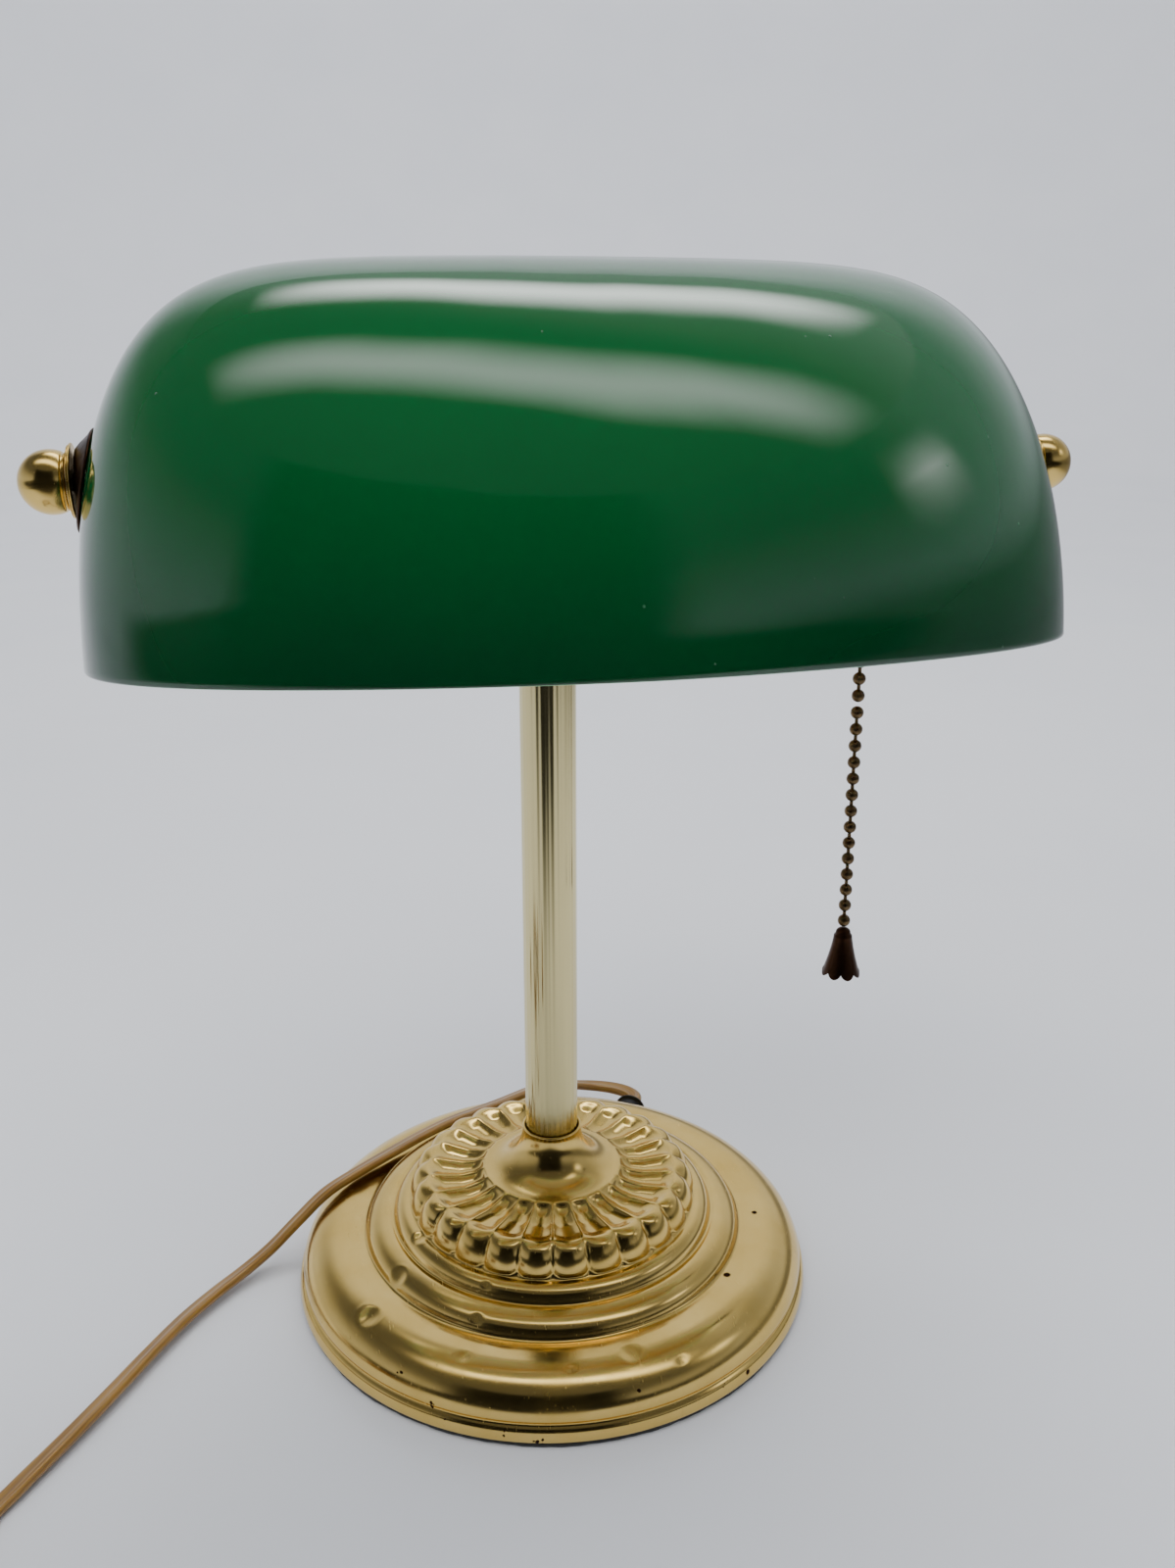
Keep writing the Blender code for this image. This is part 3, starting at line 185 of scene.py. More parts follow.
def surface(name, grid, materials, wrap_u=True, wrap_v=False, start_pole=False, end_pole=False, bands=None,
            uv=None):
    """A mesh over a grid of points in millimetres, with rows along v and columns round u.

    A pole closes the first or last row to that row's middle. bands gives each row of faces a material number,
    and uv gives each row and each column edge a place in metres.
    """
    rows, cols = grid.shape[:2]
    points = grid.reshape(-1, 3)
    row_steps = rows if wrap_v else rows - 1
    col_steps = cols if wrap_u else cols - 1
    v, u = np.meshgrid(np.arange(row_steps), np.arange(col_steps), indexing="ij")
    v2, u2 = (v + 1) % rows, (u + 1) % cols
    quads = np.stack((v * cols + u, v * cols + u2, v2 * cols + u2, v2 * cols + u), -1).reshape(-1, 4)
    slots = np.repeat(np.zeros(row_steps, int) if bands is None else np.asarray(bands), col_steps)
    fans = []
    for wanted, row, order in ((start_pole, 0, 1), (end_pole, rows - 1, -1)):
        if wanted:
            middle = len(points)
            points = np.vstack((points, grid[row].mean(0)))
            ring = row * cols + np.arange(col_steps)
            after = row * cols + (np.arange(col_steps) + 1) % cols
            fans.append(np.stack((after, ring, np.full_like(ring, middle))[::order], -1))
    triangles = np.vstack(fans) if fans else np.zeros((0, 3), int)
    a, b, c, d = (points[quads[:, i]] for i in range(4))
    volume = np.einsum("ij,ij->i", a, np.cross(b, c)).sum() + np.einsum("ij,ij->i", a, np.cross(c, d)).sum()
    if len(triangles):
        a, b, c = (points[triangles[:, i]] for i in range(3))
        volume += np.einsum("ij,ij->i", a, np.cross(b, c)).sum()
    if volume < 0:
        quads, triangles = quads[:, ::-1], triangles[:, ::-1]
    mesh = bpy.data.meshes.new(name)
    mesh.vertices.add(len(points))
    mesh.vertices.foreach_set("co", (points * MM).ravel().astype(np.float32))
    mesh.loops.add(quads.size + triangles.size)
    mesh.loops.foreach_set("vertex_index", np.concatenate((quads.ravel(), triangles.ravel())).astype(np.int32))
    mesh.polygons.add(len(quads) + len(triangles))
    starts = np.concatenate((np.arange(len(quads)) * 4, len(quads) * 4 + np.arange(len(triangles)) * 3))
    mesh.polygons.foreach_set("loop_start", starts.astype(np.int32))
    if bands is not None:
        last = [bands[0]] * (col_steps if start_pole else 0) + [bands[-1]] * (col_steps if end_pole else 0)
        mesh.polygons.foreach_set("material_index", np.concatenate((slots, last)).astype(np.int32))
    mesh.update(calc_edges=True)
    if uv is not None:
        along, around = uv
        where = np.stack(np.broadcast_arrays(along[:, None], around[None, :]), -1)
        corner_v = np.stack((v, v, v + 1, v + 1), -1).reshape(-1, 4)
        corner_u = np.stack((u, u + 1, u + 1, u), -1).reshape(-1, 4)
        if volume < 0:
            corner_v, corner_u = corner_v[:, ::-1], corner_u[:, ::-1]
        flat = where[corner_v, corner_u].reshape(-1, 2)
        flat = np.vstack((flat, np.zeros((triangles.size, 2))))
        mesh.uv_layers.new(name="surface").data.foreach_set("uv", flat.ravel().astype(np.float32))
    mesh.validate()
    mesh.shade_smooth()
    for material in materials if isinstance(materials, (list, tuple)) else [materials]:
        mesh.materials.append(material)
    item = bpy.data.objects.new(name, mesh)
    bpy.context.scene.collection.objects.link(item)
    return item


def ringed(corners, radius, steps=4, closed=True):
    """Rounds each corner of a profile with a quadratic curve that starts this far from the corner."""
    corners = np.array(corners, float)
    count, line = len(corners), []
    for index, corner in enumerate(corners):
        if not closed and index in (0, count - 1):
            line.append(corner[None])
            continue
        back, ahead = corners[index - 1] - corner, corners[(index + 1) % count] - corner
        cut_back = min(radius, 0.45 * np.linalg.norm(back)) * back / np.linalg.norm(back)
        cut_ahead = min(radius, 0.45 * np.linalg.norm(ahead)) * ahead / np.linalg.norm(ahead)
        t = np.linspace(0, 1, steps)[:, None]
        line.append(corner + (1 - t) ** 2 * cut_back + t ** 2 * cut_ahead)
    return np.vstack(line)


def arc(centre, radii, start, end, steps):
    """Points on an ellipse's arc between two angles in degrees."""
    a = np.radians(np.linspace(start, end, steps))
    return np.column_stack((centre[0] + radii[0] * np.cos(a), centre[1] + radii[1] * np.sin(a)))


def softened(line, spacing, spread):
    """Reads a profile at even spacing and smooths it with a bell-shaped average, keeping its ends."""
    lengths = np.concatenate(([0], np.cumsum(np.linalg.norm(np.diff(line, axis=0), axis=1))))
    steps = np.linspace(0, lengths[-1], int(lengths[-1] / spacing) + 1)
    even = np.column_stack([np.interp(steps, lengths, line[:, axis]) for axis in (0, 1)])
    reach = int(4 * spread / spacing)
    weights = np.exp(-0.5 * (np.arange(-reach, reach + 1) * spacing / spread) ** 2)
    padded = np.vstack((2 * even[0] - even[reach:0:-1], even, 2 * even[-1] - even[-2:-reach - 2:-1]))
    return np.column_stack([np.convolve(padded[:, axis], weights / weights.sum(), "valid") for axis in (0, 1)])


def aim(axis):
    """A turn that takes +Z onto the axis."""
    return np.array(Vector((0, 0, 1)).rotation_difference(Vector([float(part) for part in axis])).to_matrix())


def turned(name, profile, material, origin=(0, 0, 0), axis=(0, 0, 1), segments=96, reach=None):
    """A profile of (radius, height) rows turned round an axis from the origin.

    The point at angle t is (r cos t, r sin t, h). reach may give the radius from the profile and the angle.
    A profile that starts and ends on the axis is a solid; any other is closed to a ring.
    """
    profile = np.array(profile, float)
    solid = profile[0, 0] < 1e-6 and profile[-1, 0] < 1e-6
    if solid:
        profile = profile[1:-1]
    angle = np.arange(segments) * TAU / segments
    radius = profile[:, :1] * np.ones(segments)
    if reach is not None:
        radius = reach(profile, angle)
    local = np.stack((radius * np.cos(angle), radius * np.sin(angle), profile[:, 1:] * np.ones(segments)), -1)
    placed = local @ aim(axis).T + np.array(origin)
    return surface(name, placed, material, wrap_v=not solid, start_pole=solid, end_pole=solid)


def swept(name, path, section, side, material, closed_ends=True, wrap=False, uv=None):
    """A section of (across, up) points carried along a path. side gives the across direction at each point."""
    ahead = np.gradient(path, axis=0) if not wrap else np.roll(path, -1, 0) - np.roll(path, 1, 0)
    ahead /= np.linalg.norm(ahead, axis=1)[:, None]
    side = side - np.einsum("ij,ij->i", side, ahead)[:, None] * ahead
    side /= np.linalg.norm(side, axis=1)[:, None]
    up = np.cross(ahead, side)
    grid = path[:, None] + section[None, :, :1] * side[:, None] + section[None, :, 1:] * up[:, None]
    return surface(name, grid, material, wrap_v=wrap, start_pole=closed_ends, end_pole=closed_ends, uv=uv)


def smooth_path(points, spacing):
    """Even points along a Catmull-Rom curve through the route's own points."""
    points = np.array(points, float)
    ends = np.vstack((2 * points[0] - points[1], points, 2 * points[-1] - points[-2]))
    a, b, c, d = ends[:-3, None], ends[1:-2, None], ends[2:-1, None], ends[3:, None]
    t = np.linspace(0, 1, 16, endpoint=False)[None, :, None]
    fine = 0.5 * (2 * b + (c - a) * t + (2 * a - 5 * b + 4 * c - d) * t ** 2 + (3 * b - a - 3 * c + d) * t ** 3)
    fine = np.vstack((fine.reshape(-1, 3), points[-1]))
    lengths = np.concatenate(([0], np.cumsum(np.linalg.norm(np.diff(fine, axis=0), axis=1))))
    steps = np.linspace(0, lengths[-1], max(3, int(round(lengths[-1] / spacing)) + 1))
    return np.column_stack([np.interp(steps, lengths, fine[:, axis]) for axis in range(3)])


def drilled(item, cutters):
    """Cuts the cutters out of a piece and keeps the cut in its mesh."""
    for cutter in cutters:
        hole = item.modifiers.new("hole", "BOOLEAN")
        hole.operation, hole.solver, hole.object = "DIFFERENCE", "EXACT", cutter
    bpy.context.view_layer.update()
    made = bpy.data.meshes.new_from_object(item.evaluated_get(bpy.context.evaluated_depsgraph_get()))
    item.modifiers.clear()
    item.data = made
    for cutter in cutters:
        bpy.data.objects.remove(cutter)
    return item


def fit(item, body, nodes):
    """Puts a finished piece on its body, in place of its plain solids."""
    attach(item, body)
    if nodes:
        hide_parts(*nodes)
    return item


def finish_node(name, material):
    """Gives a plain solid that stays its own material."""
    mesh = frame["nodes"][name].data
    mesh.materials.clear()
    mesh.materials.append(material)


def settings(context):
    """The lamp's own settings on the scene."""
    return context.scene.banker_lamp


# --- Materials --------------------------------------------------------------------------------------------

MADE = {}


def kept(make):
    """Makes each material once."""
    def get(lamp):
        if make.__name__ not in MADE:
            MADE[make.__name__] = make(lamp)
        return MADE[make.__name__]
    return get


BARE_SPOTS = (  # place and width in metres, on the front of the base and of its skirt
    ((0.0536, -0.0119, 0.0151), 0.0009), ((0.0384, -0.0350, 0.0150), 0.0011), ((0.0371, -0.0572, 0.0040), 0.0009),
)


@kept
def lacquered_brass(lamp):
    """Stamped brass, polished and lacquered: mirror-like, with fine wiping marks and dark corrosion specks."""
    material, tree, shader = new_material("lacquered polished brass", Metallic=1.0)
    place = add(tree, "ShaderNodeTexCoord").outputs["Object"]
    # Handling film: patches of about 15 mm that dull the shine a little.
    film = add(tree, "ShaderNodeTexNoise", inputs={"Vector": place, "Scale": 65.0, "Detail": 4.0, "Roughness": 0.6})
    rough = add(tree, "ShaderNodeMapRange", inputs={"Value": film.outputs["Fac"], "From Min": 0.35, "From Max": 0.7,
                                                    "To Min": 0.13, "To Max": 0.24})
    # Wiping marks: hairlines about 0.4 mm apart and 8 mm long.
    stretch = add(tree, "ShaderNodeMapping", inputs={"Vector": place, "Scale": (2400.0, 260.0, 900.0),
                                                     "Rotation": (0.2, 0.1, 0.9)})
    hair = add(tree, "ShaderNodeTexNoise", inputs={"Vector": stretch.outputs["Vector"], "Scale": 1.0, "Detail": 2.0})
    marks = add(tree, "ShaderNodeMapRange", inputs={"Value": hair.outputs["Fac"], "From Min": 0.66, "From Max": 0.76,
                                                    "To Min": 0.0, "To Max": 0.16})
    total = add(tree, "ShaderNodeMath", {"operation": "ADD"}, {0: rough.outputs["Result"], 1: marks.outputs["Result"]})
    # Corrosion: specks of 0.3 to 1 mm, thick on the front of the foot and thin elsewhere.
    cells = add(tree, "ShaderNodeTexVoronoi", inputs={"Vector": place, "Scale": 900.0, "Randomness": 1.0})
    patch = add(tree, "ShaderNodeTexNoise", inputs={"Vector": place, "Scale": 240.0, "Detail": 3.0})
    split = add(tree, "ShaderNodeSeparateXYZ", inputs={"Vector": place})
    flat = add(tree, "ShaderNodeCombineXYZ", inputs={"X": split.outputs["X"], "Y": split.outputs["Y"]})
    from_axis = add(tree, "ShaderNodeVectorMath", {"operation": "LENGTH"}, {0: flat.outputs["Vector"]})
    ring = add(tree, "ShaderNodeMapRange", {"interpolation_type": "SMOOTHSTEP"},
               {"Value": from_axis.outputs["Value"], "From Min": 0.062, "From Max": 0.0665, "To Min": 0.0,
                "To Max": 1.0})
    front = add(tree, "ShaderNodeMapRange", {"interpolation_type": "SMOOTHSTEP"},
                {"Value": split.outputs["Y"], "From Min": -0.030, "From Max": -0.056, "To Min": 0.0, "To Max": 1.0})
    where = add(tree, "ShaderNodeMath", {"operation": "MULTIPLY"},
                {0: ring.outputs["Result"], 1: front.outputs["Result"]})
    limit = add(tree, "ShaderNodeMapRange", inputs={"Value": where.outputs["Value"], "From Min": 0.0, "From Max": 1.0,
                                                    "To Min": 0.775, "To Max": 0.60})
    over = add(tree, "ShaderNodeMath", {"operation": "SUBTRACT"}, {0: patch.outputs["Fac"], 1: limit.outputs["Result"]})
    grown = add(tree, "ShaderNodeMapRange", inputs={"Value": over.outputs["Value"], "From Min": 0.0, "From Max": 0.09,
                                                    "To Min": 0.0, "To Max": 0.5})
    speck = add(tree, "ShaderNodeMath", {"operation": "LESS_THAN"},
                {0: cells.outputs["Distance"], 1: grown.outputs["Result"]})
    spots = speck.outputs["Value"]
    # Three bare spots about 1.5 mm wide where the plate has worn through.
    for at, width in BARE_SPOTS:
        away = add(tree, "ShaderNodeVectorMath", {"operation": "DISTANCE"}, {0: place, 1: at})
        spot = add(tree, "ShaderNodeMapRange", inputs={"Value": away.outputs["Value"], "From Min": width,
                                                       "From Max": width * 0.6, "To Min": 0.0, "To Max": 1.0})
        spots = add(tree, "ShaderNodeMath", {"operation": "MAXIMUM"}, {0: spots, 1: spot.outputs["Result"]})
        spots = spots.outputs["Value"]
    warm = add(tree, "ShaderNodeMix", {"data_type": "RGBA"},
               {0: film.outputs["Fac"], 6: lamp.base.brass, 7: linear("#D2AE55")})
    colours = add(tree, "ShaderNodeMix", {"data_type": "RGBA"}, {0: spots, 6: warm.outputs[2], 7: lamp.base.speck})
    dull = add(tree, "ShaderNodeMix", {"data_type": "FLOAT"}, {0: spots, 2: total.outputs["Value"], 3: 0.75})
    bump = add(tree, "ShaderNodeBump", inputs={"Height": film.outputs["Fac"], "Strength": 0.05, "Distance": 0.0004})
    tree.links.new(colours.outputs[2], shader.inputs["Base Color"])
    tree.links.new(dull.outputs[0], shader.inputs["Roughness"])
    tree.links.new(bump.outputs["Normal"], shader.inputs["Normal"])
    return material


def plain_metal(name, base, roughness, grain, depth=0.0002, spread=0.1, stretch=(1.0, 1.0, 1.0), tone=0.75):
    """A metal whose roughness and tone vary with a grain of this many marks to a metre."""
    material, tree, shader = new_material(name, Metallic=1.0)
    place = add(tree, "ShaderNodeTexCoord").outputs["Object"]
    drawn = add(tree, "ShaderNodeMapping", inputs={"Vector": place, "Scale": stretch})
    noise = add(tree, "ShaderNodeTexNoise", inputs={"Vector": drawn.outputs["Vector"], "Scale": grain, "Detail": 4.0})
    rough = add(tree, "ShaderNodeMapRange", inputs={"Value": noise.outputs["Fac"], "From Min": 0.3, "From Max": 0.7,
                                                    "To Min": roughness - spread / 2, "To Max": roughness + spread / 2})
    mixed = add(tree, "ShaderNodeMix", {"data_type": "RGBA"}, {0: noise.outputs["Fac"], 6: base,
                                                               7: tuple(c * tone for c in base[:3]) + (1.0,)})
    bump = add(tree, "ShaderNodeBump", inputs={"Height": noise.outputs["Fac"], "Strength": 0.25, "Distance": depth})
    tree.links.new(mixed.outputs[2], shader.inputs["Base Color"])
    tree.links.new(rough.outputs["Result"], shader.inputs["Roughness"])
    tree.links.new(bump.outputs["Normal"], shader.inputs["Normal"])
    return material


@kept
def pale_brass(lamp):
    """Drawn brass tube, polished along its length: paler than the base, with lines that run up it."""
    return plain_metal("pale drawn brass", tuple(lamp.stem.tube), 0.13, 900.0, 0.00005, 0.08, (1.0, 1.0, 0.02), 0.88)


@kept
def satin_brass(lamp):
    """Rolled brass strip, tumbled and lacquered: soft shine with a fine grain."""
    return plain_metal("satin rolled brass", tuple(lamp.stem.strap), 0.3, 1500.0, 0.00005, 0.1, (1.0, 6.0, 6.0), 0.8)


@kept
def antique_bronze(lamp):
    """Brass blackened and relieved: brown with brighter high spots, semi-dull."""
    return plain_metal("antique bronze", tuple(lamp.fittings.bronze), 0.32, 700.0, 0.0001, 0.2, tone=0.35)


@kept
def dark_bronze(lamp):
    """Brass blackened and left dark: nearly black brown with a soft shine."""
    return plain_metal("dark antique bronze", linear("#4A3222"), 0.36, 600.0, 0.0001, 0.16, tone=0.5)


@kept
def zinc_steel(lamp):
    """Zinc-plated steel: grey with a fine spangle."""
    return plain_metal("zinc-plated steel", tuple(lamp.fittings.steel), 0.34, 1200.0, 0.0001, 0.12)


@kept
def contact_copper(lamp):
    """Bare copper alloy: warm and a little tarnished."""
    return plain_metal("bare contact copper", tuple(lamp.fittings.copper), 0.33, 500.0, 0.0001, 0.2)


@kept
def cap_aluminium(lamp):
    """Rolled aluminium of the bulb cap: pale, with drawing lines."""
    return plain_metal("rolled aluminium", linear("#D4D5D6"), 0.3, 1400.0, 0.00005, 0.1)


@kept
def cast_iron(lamp):
    """Sand-cast iron: dark, dull and grainy, with sand marks about 1 mm wide."""
    return plain_metal("sand-cast iron", linear("#3A3836"), 0.7, 1000.0, 0.0006, 0.2)


def plain_solid(name, base, roughness, grain, depth, tone=0.8, **values):
    """A non-metal whose tone and surface vary with a grain of this many marks to a metre."""
    material, tree, shader = new_material(name, Roughness=roughness, **values)
    place = add(tree, "ShaderNodeTexCoord").outputs["Object"]
    noise = add(tree, "ShaderNodeTexNoise", inputs={"Vector": place, "Scale": grain, "Detail": 5.0, "Roughness": 0.65})
    mixed = add(tree, "ShaderNodeMix", {"data_type": "RGBA"}, {0: noise.outputs["Fac"], 6: base,
                                                               7: tuple(c * tone for c in base[:3]) + (1.0,)})
    bump = add(tree, "ShaderNodeBump", inputs={"Height": noise.outputs["Fac"], "Strength": 0.4, "Distance": depth})
    tree.links.new(mixed.outputs[2], shader.inputs["Base Color"])
    tree.links.new(bump.outputs["Normal"], shader.inputs["Normal"])
    return material


@kept
def pressed_felt(lamp):
    """Wool felt: dull, with a fuzz of about 0.5 mm and a soft sheen."""
    return plain_solid("pressed wool felt", tuple(lamp.base.felt), 0.95, 1800.0, 0.0006, 0.4, Sheen_Weight=0.4)


@kept
def moulded_phenolic(lamp):
    """Moulded phenolic: black, with a soft skin."""
    return plain_solid("moulded phenolic", tuple(lamp.fittings.phenolic), 0.35, 900.0, 0.0001)


@kept
def fibre_paper(lamp):
    """Vulcanised fibre paper: brown and matt."""
    return plain_solid("vulcanised fibre paper", tuple(lamp.fittings.fibre), 0.85, 1500.0, 0.0002, 0.7)


@kept
def black_rubber(lamp):
    """Moulded rubber: black, with a fine matt skin."""
    return plain_solid("moulded black rubber", tuple(lamp.fittings.rubber), 0.55, 1200.0, 0.0001)


@kept
def moulded_plug(lamp):
    """Moulded brown vinyl: satin, with a leathery grain of about 0.6 mm."""
    return plain_solid("moulded brown vinyl", tuple(lamp.cord.plug), 0.4, 1600.0, 0.0002)


@kept
def frosted_glass(lamp):
    """Bulb glass frosted on its inside: white, and lets a glow of light through."""
    return plain_solid("frosted bulb glass", tuple(lamp.fittings.frosted), 0.32, 400.0, 0.00005, 0.97,
                       Transmission_Weight=0.25, IOR=1.5)


@kept
def amber_vinyl(lamp):
    """Clear gold vinyl over copper strands: glossy, with the twisted strands showing as slanting lines."""
    material, tree, shader = new_material("clear amber vinyl", Roughness=0.3, IOR=1.5, Coat_Weight=0.1,
                                          Coat_Roughness=0.15, Subsurface_Weight=0.15, Subsurface_Scale=0.002)
    place = add(tree, "ShaderNodeUVMap", {"uv_map": "surface"}).outputs["UV"]
    # Strands of 0.25 mm laid at a slant, drawn 0.6 mm apart so that they show.
    lay = add(tree, "ShaderNodeMapping", inputs={"Vector": place, "Rotation": (0.0, 0.0, 0.32),
                                                 "Scale": (160.0, 1700.0, 1.0)})
    strands = add(tree, "ShaderNodeTexWave", {"wave_type": "BANDS", "bands_direction": "Y", "wave_profile": "SIN"},
                  {"Vector": lay.outputs["Vector"], "Scale": 0.16, "Distortion": 2.0, "Detail": 2.0})
    cloud = add(tree, "ShaderNodeTexNoise", inputs={"Vector": place, "Scale": 60.0, "Detail": 2.0})
    mixed = add(tree, "ShaderNodeMix", {"data_type": "RGBA"},
                {0: strands.outputs["Fac"], 6: lamp.cord.strand, 7: lamp.cord.amber})
    pale = add(tree, "ShaderNodeMix", {"data_type": "RGBA"},
               {0: cloud.outputs["Fac"], 6: mixed.outputs[2], 7: linear("#A07A3A")})
    bump = add(tree, "ShaderNodeBump", inputs={"Height": strands.outputs["Fac"], "Strength": 0.2, "Distance": 0.0001})
    tree.links.new(pale.outputs[2], shader.inputs["Base Color"])
    tree.links.new(bump.outputs["Normal"], shader.inputs["Normal"])
    return material


@kept
def inner_vinyl(lamp):
    """The same vinyl on the conductors inside the lamp, where it has no lines to show."""
    return plain_solid("amber vinyl conductors", tuple(lamp.cord.amber), 0.3, 500.0, 0.0001)


@kept
def green_glass(lamp):
    """Clear green glass over opal: wet-looking gloss, colour that deepens in patches and, as painted shade, low down,
    with seeds and a few bubbles.
    """
    material, tree, shader = new_material("green cased glass", Roughness=0.06, IOR=1.52, Coat_Weight=0.5,
                                          Coat_Roughness=0.03, Subsurface_Weight=0.12, Subsurface_Scale=0.004)
    place = add(tree, "ShaderNodeTexCoord").outputs["Object"]
    # The cased layer is uneven in patches of about 60 mm; the darkening low down is painted shade.
    patches = add(tree, "ShaderNodeTexNoise", inputs={"Vector": place, "Scale": 13.0, "Detail": 1.5, "Roughness": 0.4})
    split = add(tree, "ShaderNodeSeparateXYZ", inputs={"Vector": place})
    # Painted shade: the green is darkened the lower it is on the glass.
    low = add(tree, "ShaderNodeMapRange", {"interpolation_type": "SMOOTHSTEP"},
              {"Value": split.outputs["Z"], "From Min": 0.172, "From Max": 0.235, "To Min": 0.75, "To Max": 0.1})
    patches_and_low_shade = add(tree, "ShaderNodeMath", {"operation": "MULTIPLY_ADD"},
               {0: patches.outputs["Fac"], 1: 0.5, 2: low.outputs["Result"]})
    shift = add(tree, "ShaderNodeMath", {"operation": "SUBTRACT", "use_clamp": True},
                {0: patches_and_low_shade.outputs["Value"], 1: 0.2})
    body = add(tree, "ShaderNodeMix", {"data_type": "RGBA"},
               {0: shift.outputs["Value"], 6: lamp.shade.green, 7: lamp.shade.deep_green_and_low_shade})
    # Blown glass is never quite even: waves of 30 mm and 4 mm.
    wide = add(tree, "ShaderNodeTexNoise", inputs={"Vector": place, "Scale": 32.0, "Detail": 1.0})
    fine = add(tree, "ShaderNodeTexNoise", inputs={"Vector": place, "Scale": 240.0, "Detail": 2.0})
    first = add(tree, "ShaderNodeBump", inputs={"Height": wide.outputs["Fac"], "Strength": 0.35, "Distance": 0.0012})
    second = add(tree, "ShaderNodeBump", inputs={"Height": fine.outputs["Fac"], "Strength": 0.03, "Distance": 0.0002,
                                                 "Normal": first.outputs["Normal"]})
    # Seeds: bubbles of 0.3 mm, one or two to a few centimetres.
    cells = add(tree, "ShaderNodeTexVoronoi", inputs={"Vector": place, "Scale": 150.0, "Randomness": 1.0})
    seed = add(tree, "ShaderNodeMapRange", {"interpolation_type": "SMOOTHSTEP"},
               {"Value": cells.outputs["Distance"], "From Min": 0.055, "From Max": 0.02, "To Min": 0.0, "To Max": 1.0})
    chance = add(tree, "ShaderNodeSeparateColor", inputs={"Color": cells.outputs["Color"]})
    rare = add(tree, "ShaderNodeMath", {"operation": "GREATER_THAN"}, {0: chance.outputs["Red"], 1: 0.72})
    seeds = add(tree, "ShaderNodeMath", {"operation": "MULTIPLY"}, {0: seed.outputs["Result"], 1: rare.outputs["Value"]})
    third = add(tree, "ShaderNodeBump", inputs={"Height": seeds.outputs["Value"], "Strength": 0.9, "Distance": 0.0003,
                                                "Normal": second.outputs["Normal"]})
    pale = add(tree, "ShaderNodeMath", {"operation": "MULTIPLY"}, {0: seeds.outputs["Value"], 1: 0.35})
    dotted = add(tree, "ShaderNodeMix", {"data_type": "RGBA"},
                 {0: pale.outputs["Value"], 6: body.outputs[2], 7: linear("#3F9A66")})
    tree.links.new(dotted.outputs[2], shader.inputs["Base Color"])
    tree.links.new(third.outputs["Normal"], shader.inputs["Normal"])
    return material


@kept
def opal_glass(lamp):
    """Opal glass inside the shade: milky white and smooth, a little green where the case shows through."""
    return plain_solid("opal glass lining", tuple(lamp.shade.opal), 0.12, 60.0, 0.0001, 0.93, Subsurface_Weight=0.2,
                       Subsurface_Scale=0.004)


@kept
def ground_edge(lamp):
    """The rim, cut and ground: mint, with a fine matt grind."""
    return plain_solid("ground glass rim", tuple(lamp.shade.edge), 0.35, 2500.0, 0.00005, 0.85)


# --- Base -------------------------------------------------------------------------------------------------

def stamping_line(foot):
    """The base's pressed outline from the foot to the lip, as (radius, height)."""
    skirt = np.array([(foot - 1.0, 1.5), (foot - 0.1, 1.6), (foot, 2.3), (foot - 0.35, 4.6), (foot - 1.0, 5.3),
                      (foot - 1.8, 5.7)])
    parts = [skirt, arc((56.5, 6.0), (10.6, 9.2), 4, 90, 24), np.array([(53.5, 15.15), (50.9, 14.9), (50.2, 14.9)]),
             arc((43.6, 15.4), (6.3, 3.9), 8, 90, 12), np.array([(43.1, 18.9), (42.5, 18.8)]),
             np.array([(42.4, 19.4)]), arc((38.6, 19.4), (3.6, 3.1), 10, 86, 9), np.array([(37.9, 22.4)]),
             arc((31.7, 22.7), (5.6, 7.7), 3, 90, 24), np.array([(28.6, 30.0), (24.5, 29.6), (20.6, 30.2), (18.6, 31.1)]),
             arc((18.3, 43.0), (10.7, 11.8), 269, 183, 24), np.array([(7.9, 43.05), (7.55, 43.2), (7.2, 43.0)])]
    return softened(np.vstack(parts), 0.42, 0.42)


def inner_line(foot):
    """The hidden side of the stamping, from the lip back down to the foot."""
    return np.array([(7.15, 42.6), (7.15, 36.2), (NUT_BORE, 36.2), (NUT_BORE, 35.0), (8.2, 34.9), (12.9, 30.6), (18.3, 29.3),
                     (24.5, 27.4), (30.6, 28.0), (34.2, 26.2), (35.6, 22.8), (36.2, 21.4), (41.2, 18.4), (42.6, 17.4),
                     (48.6, 14.2), (49.8, 13.4), (56.5, 13.6), (61.5, 12.0), (65.0, 8.0), (65.8, 5.6),
                     (foot - 1.6, 4.6), (foot - 1.3, 1.5)])


FIRST_LOBE = math.radians(-100.6)  # the azimuth of a notch between two lobes
LOBE_STEPS = 16
DENTS = (  # azimuth in degrees, then radius, width and depth in millimetres
    (-82.1, 57.8, 2.4, 0.42), (-96.7, 59.3, 1.2, 0.22), (-124.0, 41.0, 1.1, 0.25), (-122.9, 48.6, 1.3, 0.28),
    (-121.9, 58.6, 1.5, 0.32), (-160.6, 39.6, 1.8, 0.5), (-153.8, 48.6, 2.2, 0.6), (-149.2, 60.0, 2.6, 0.6),
    (-72.0, 63.0, 1.2, 0.2),
)


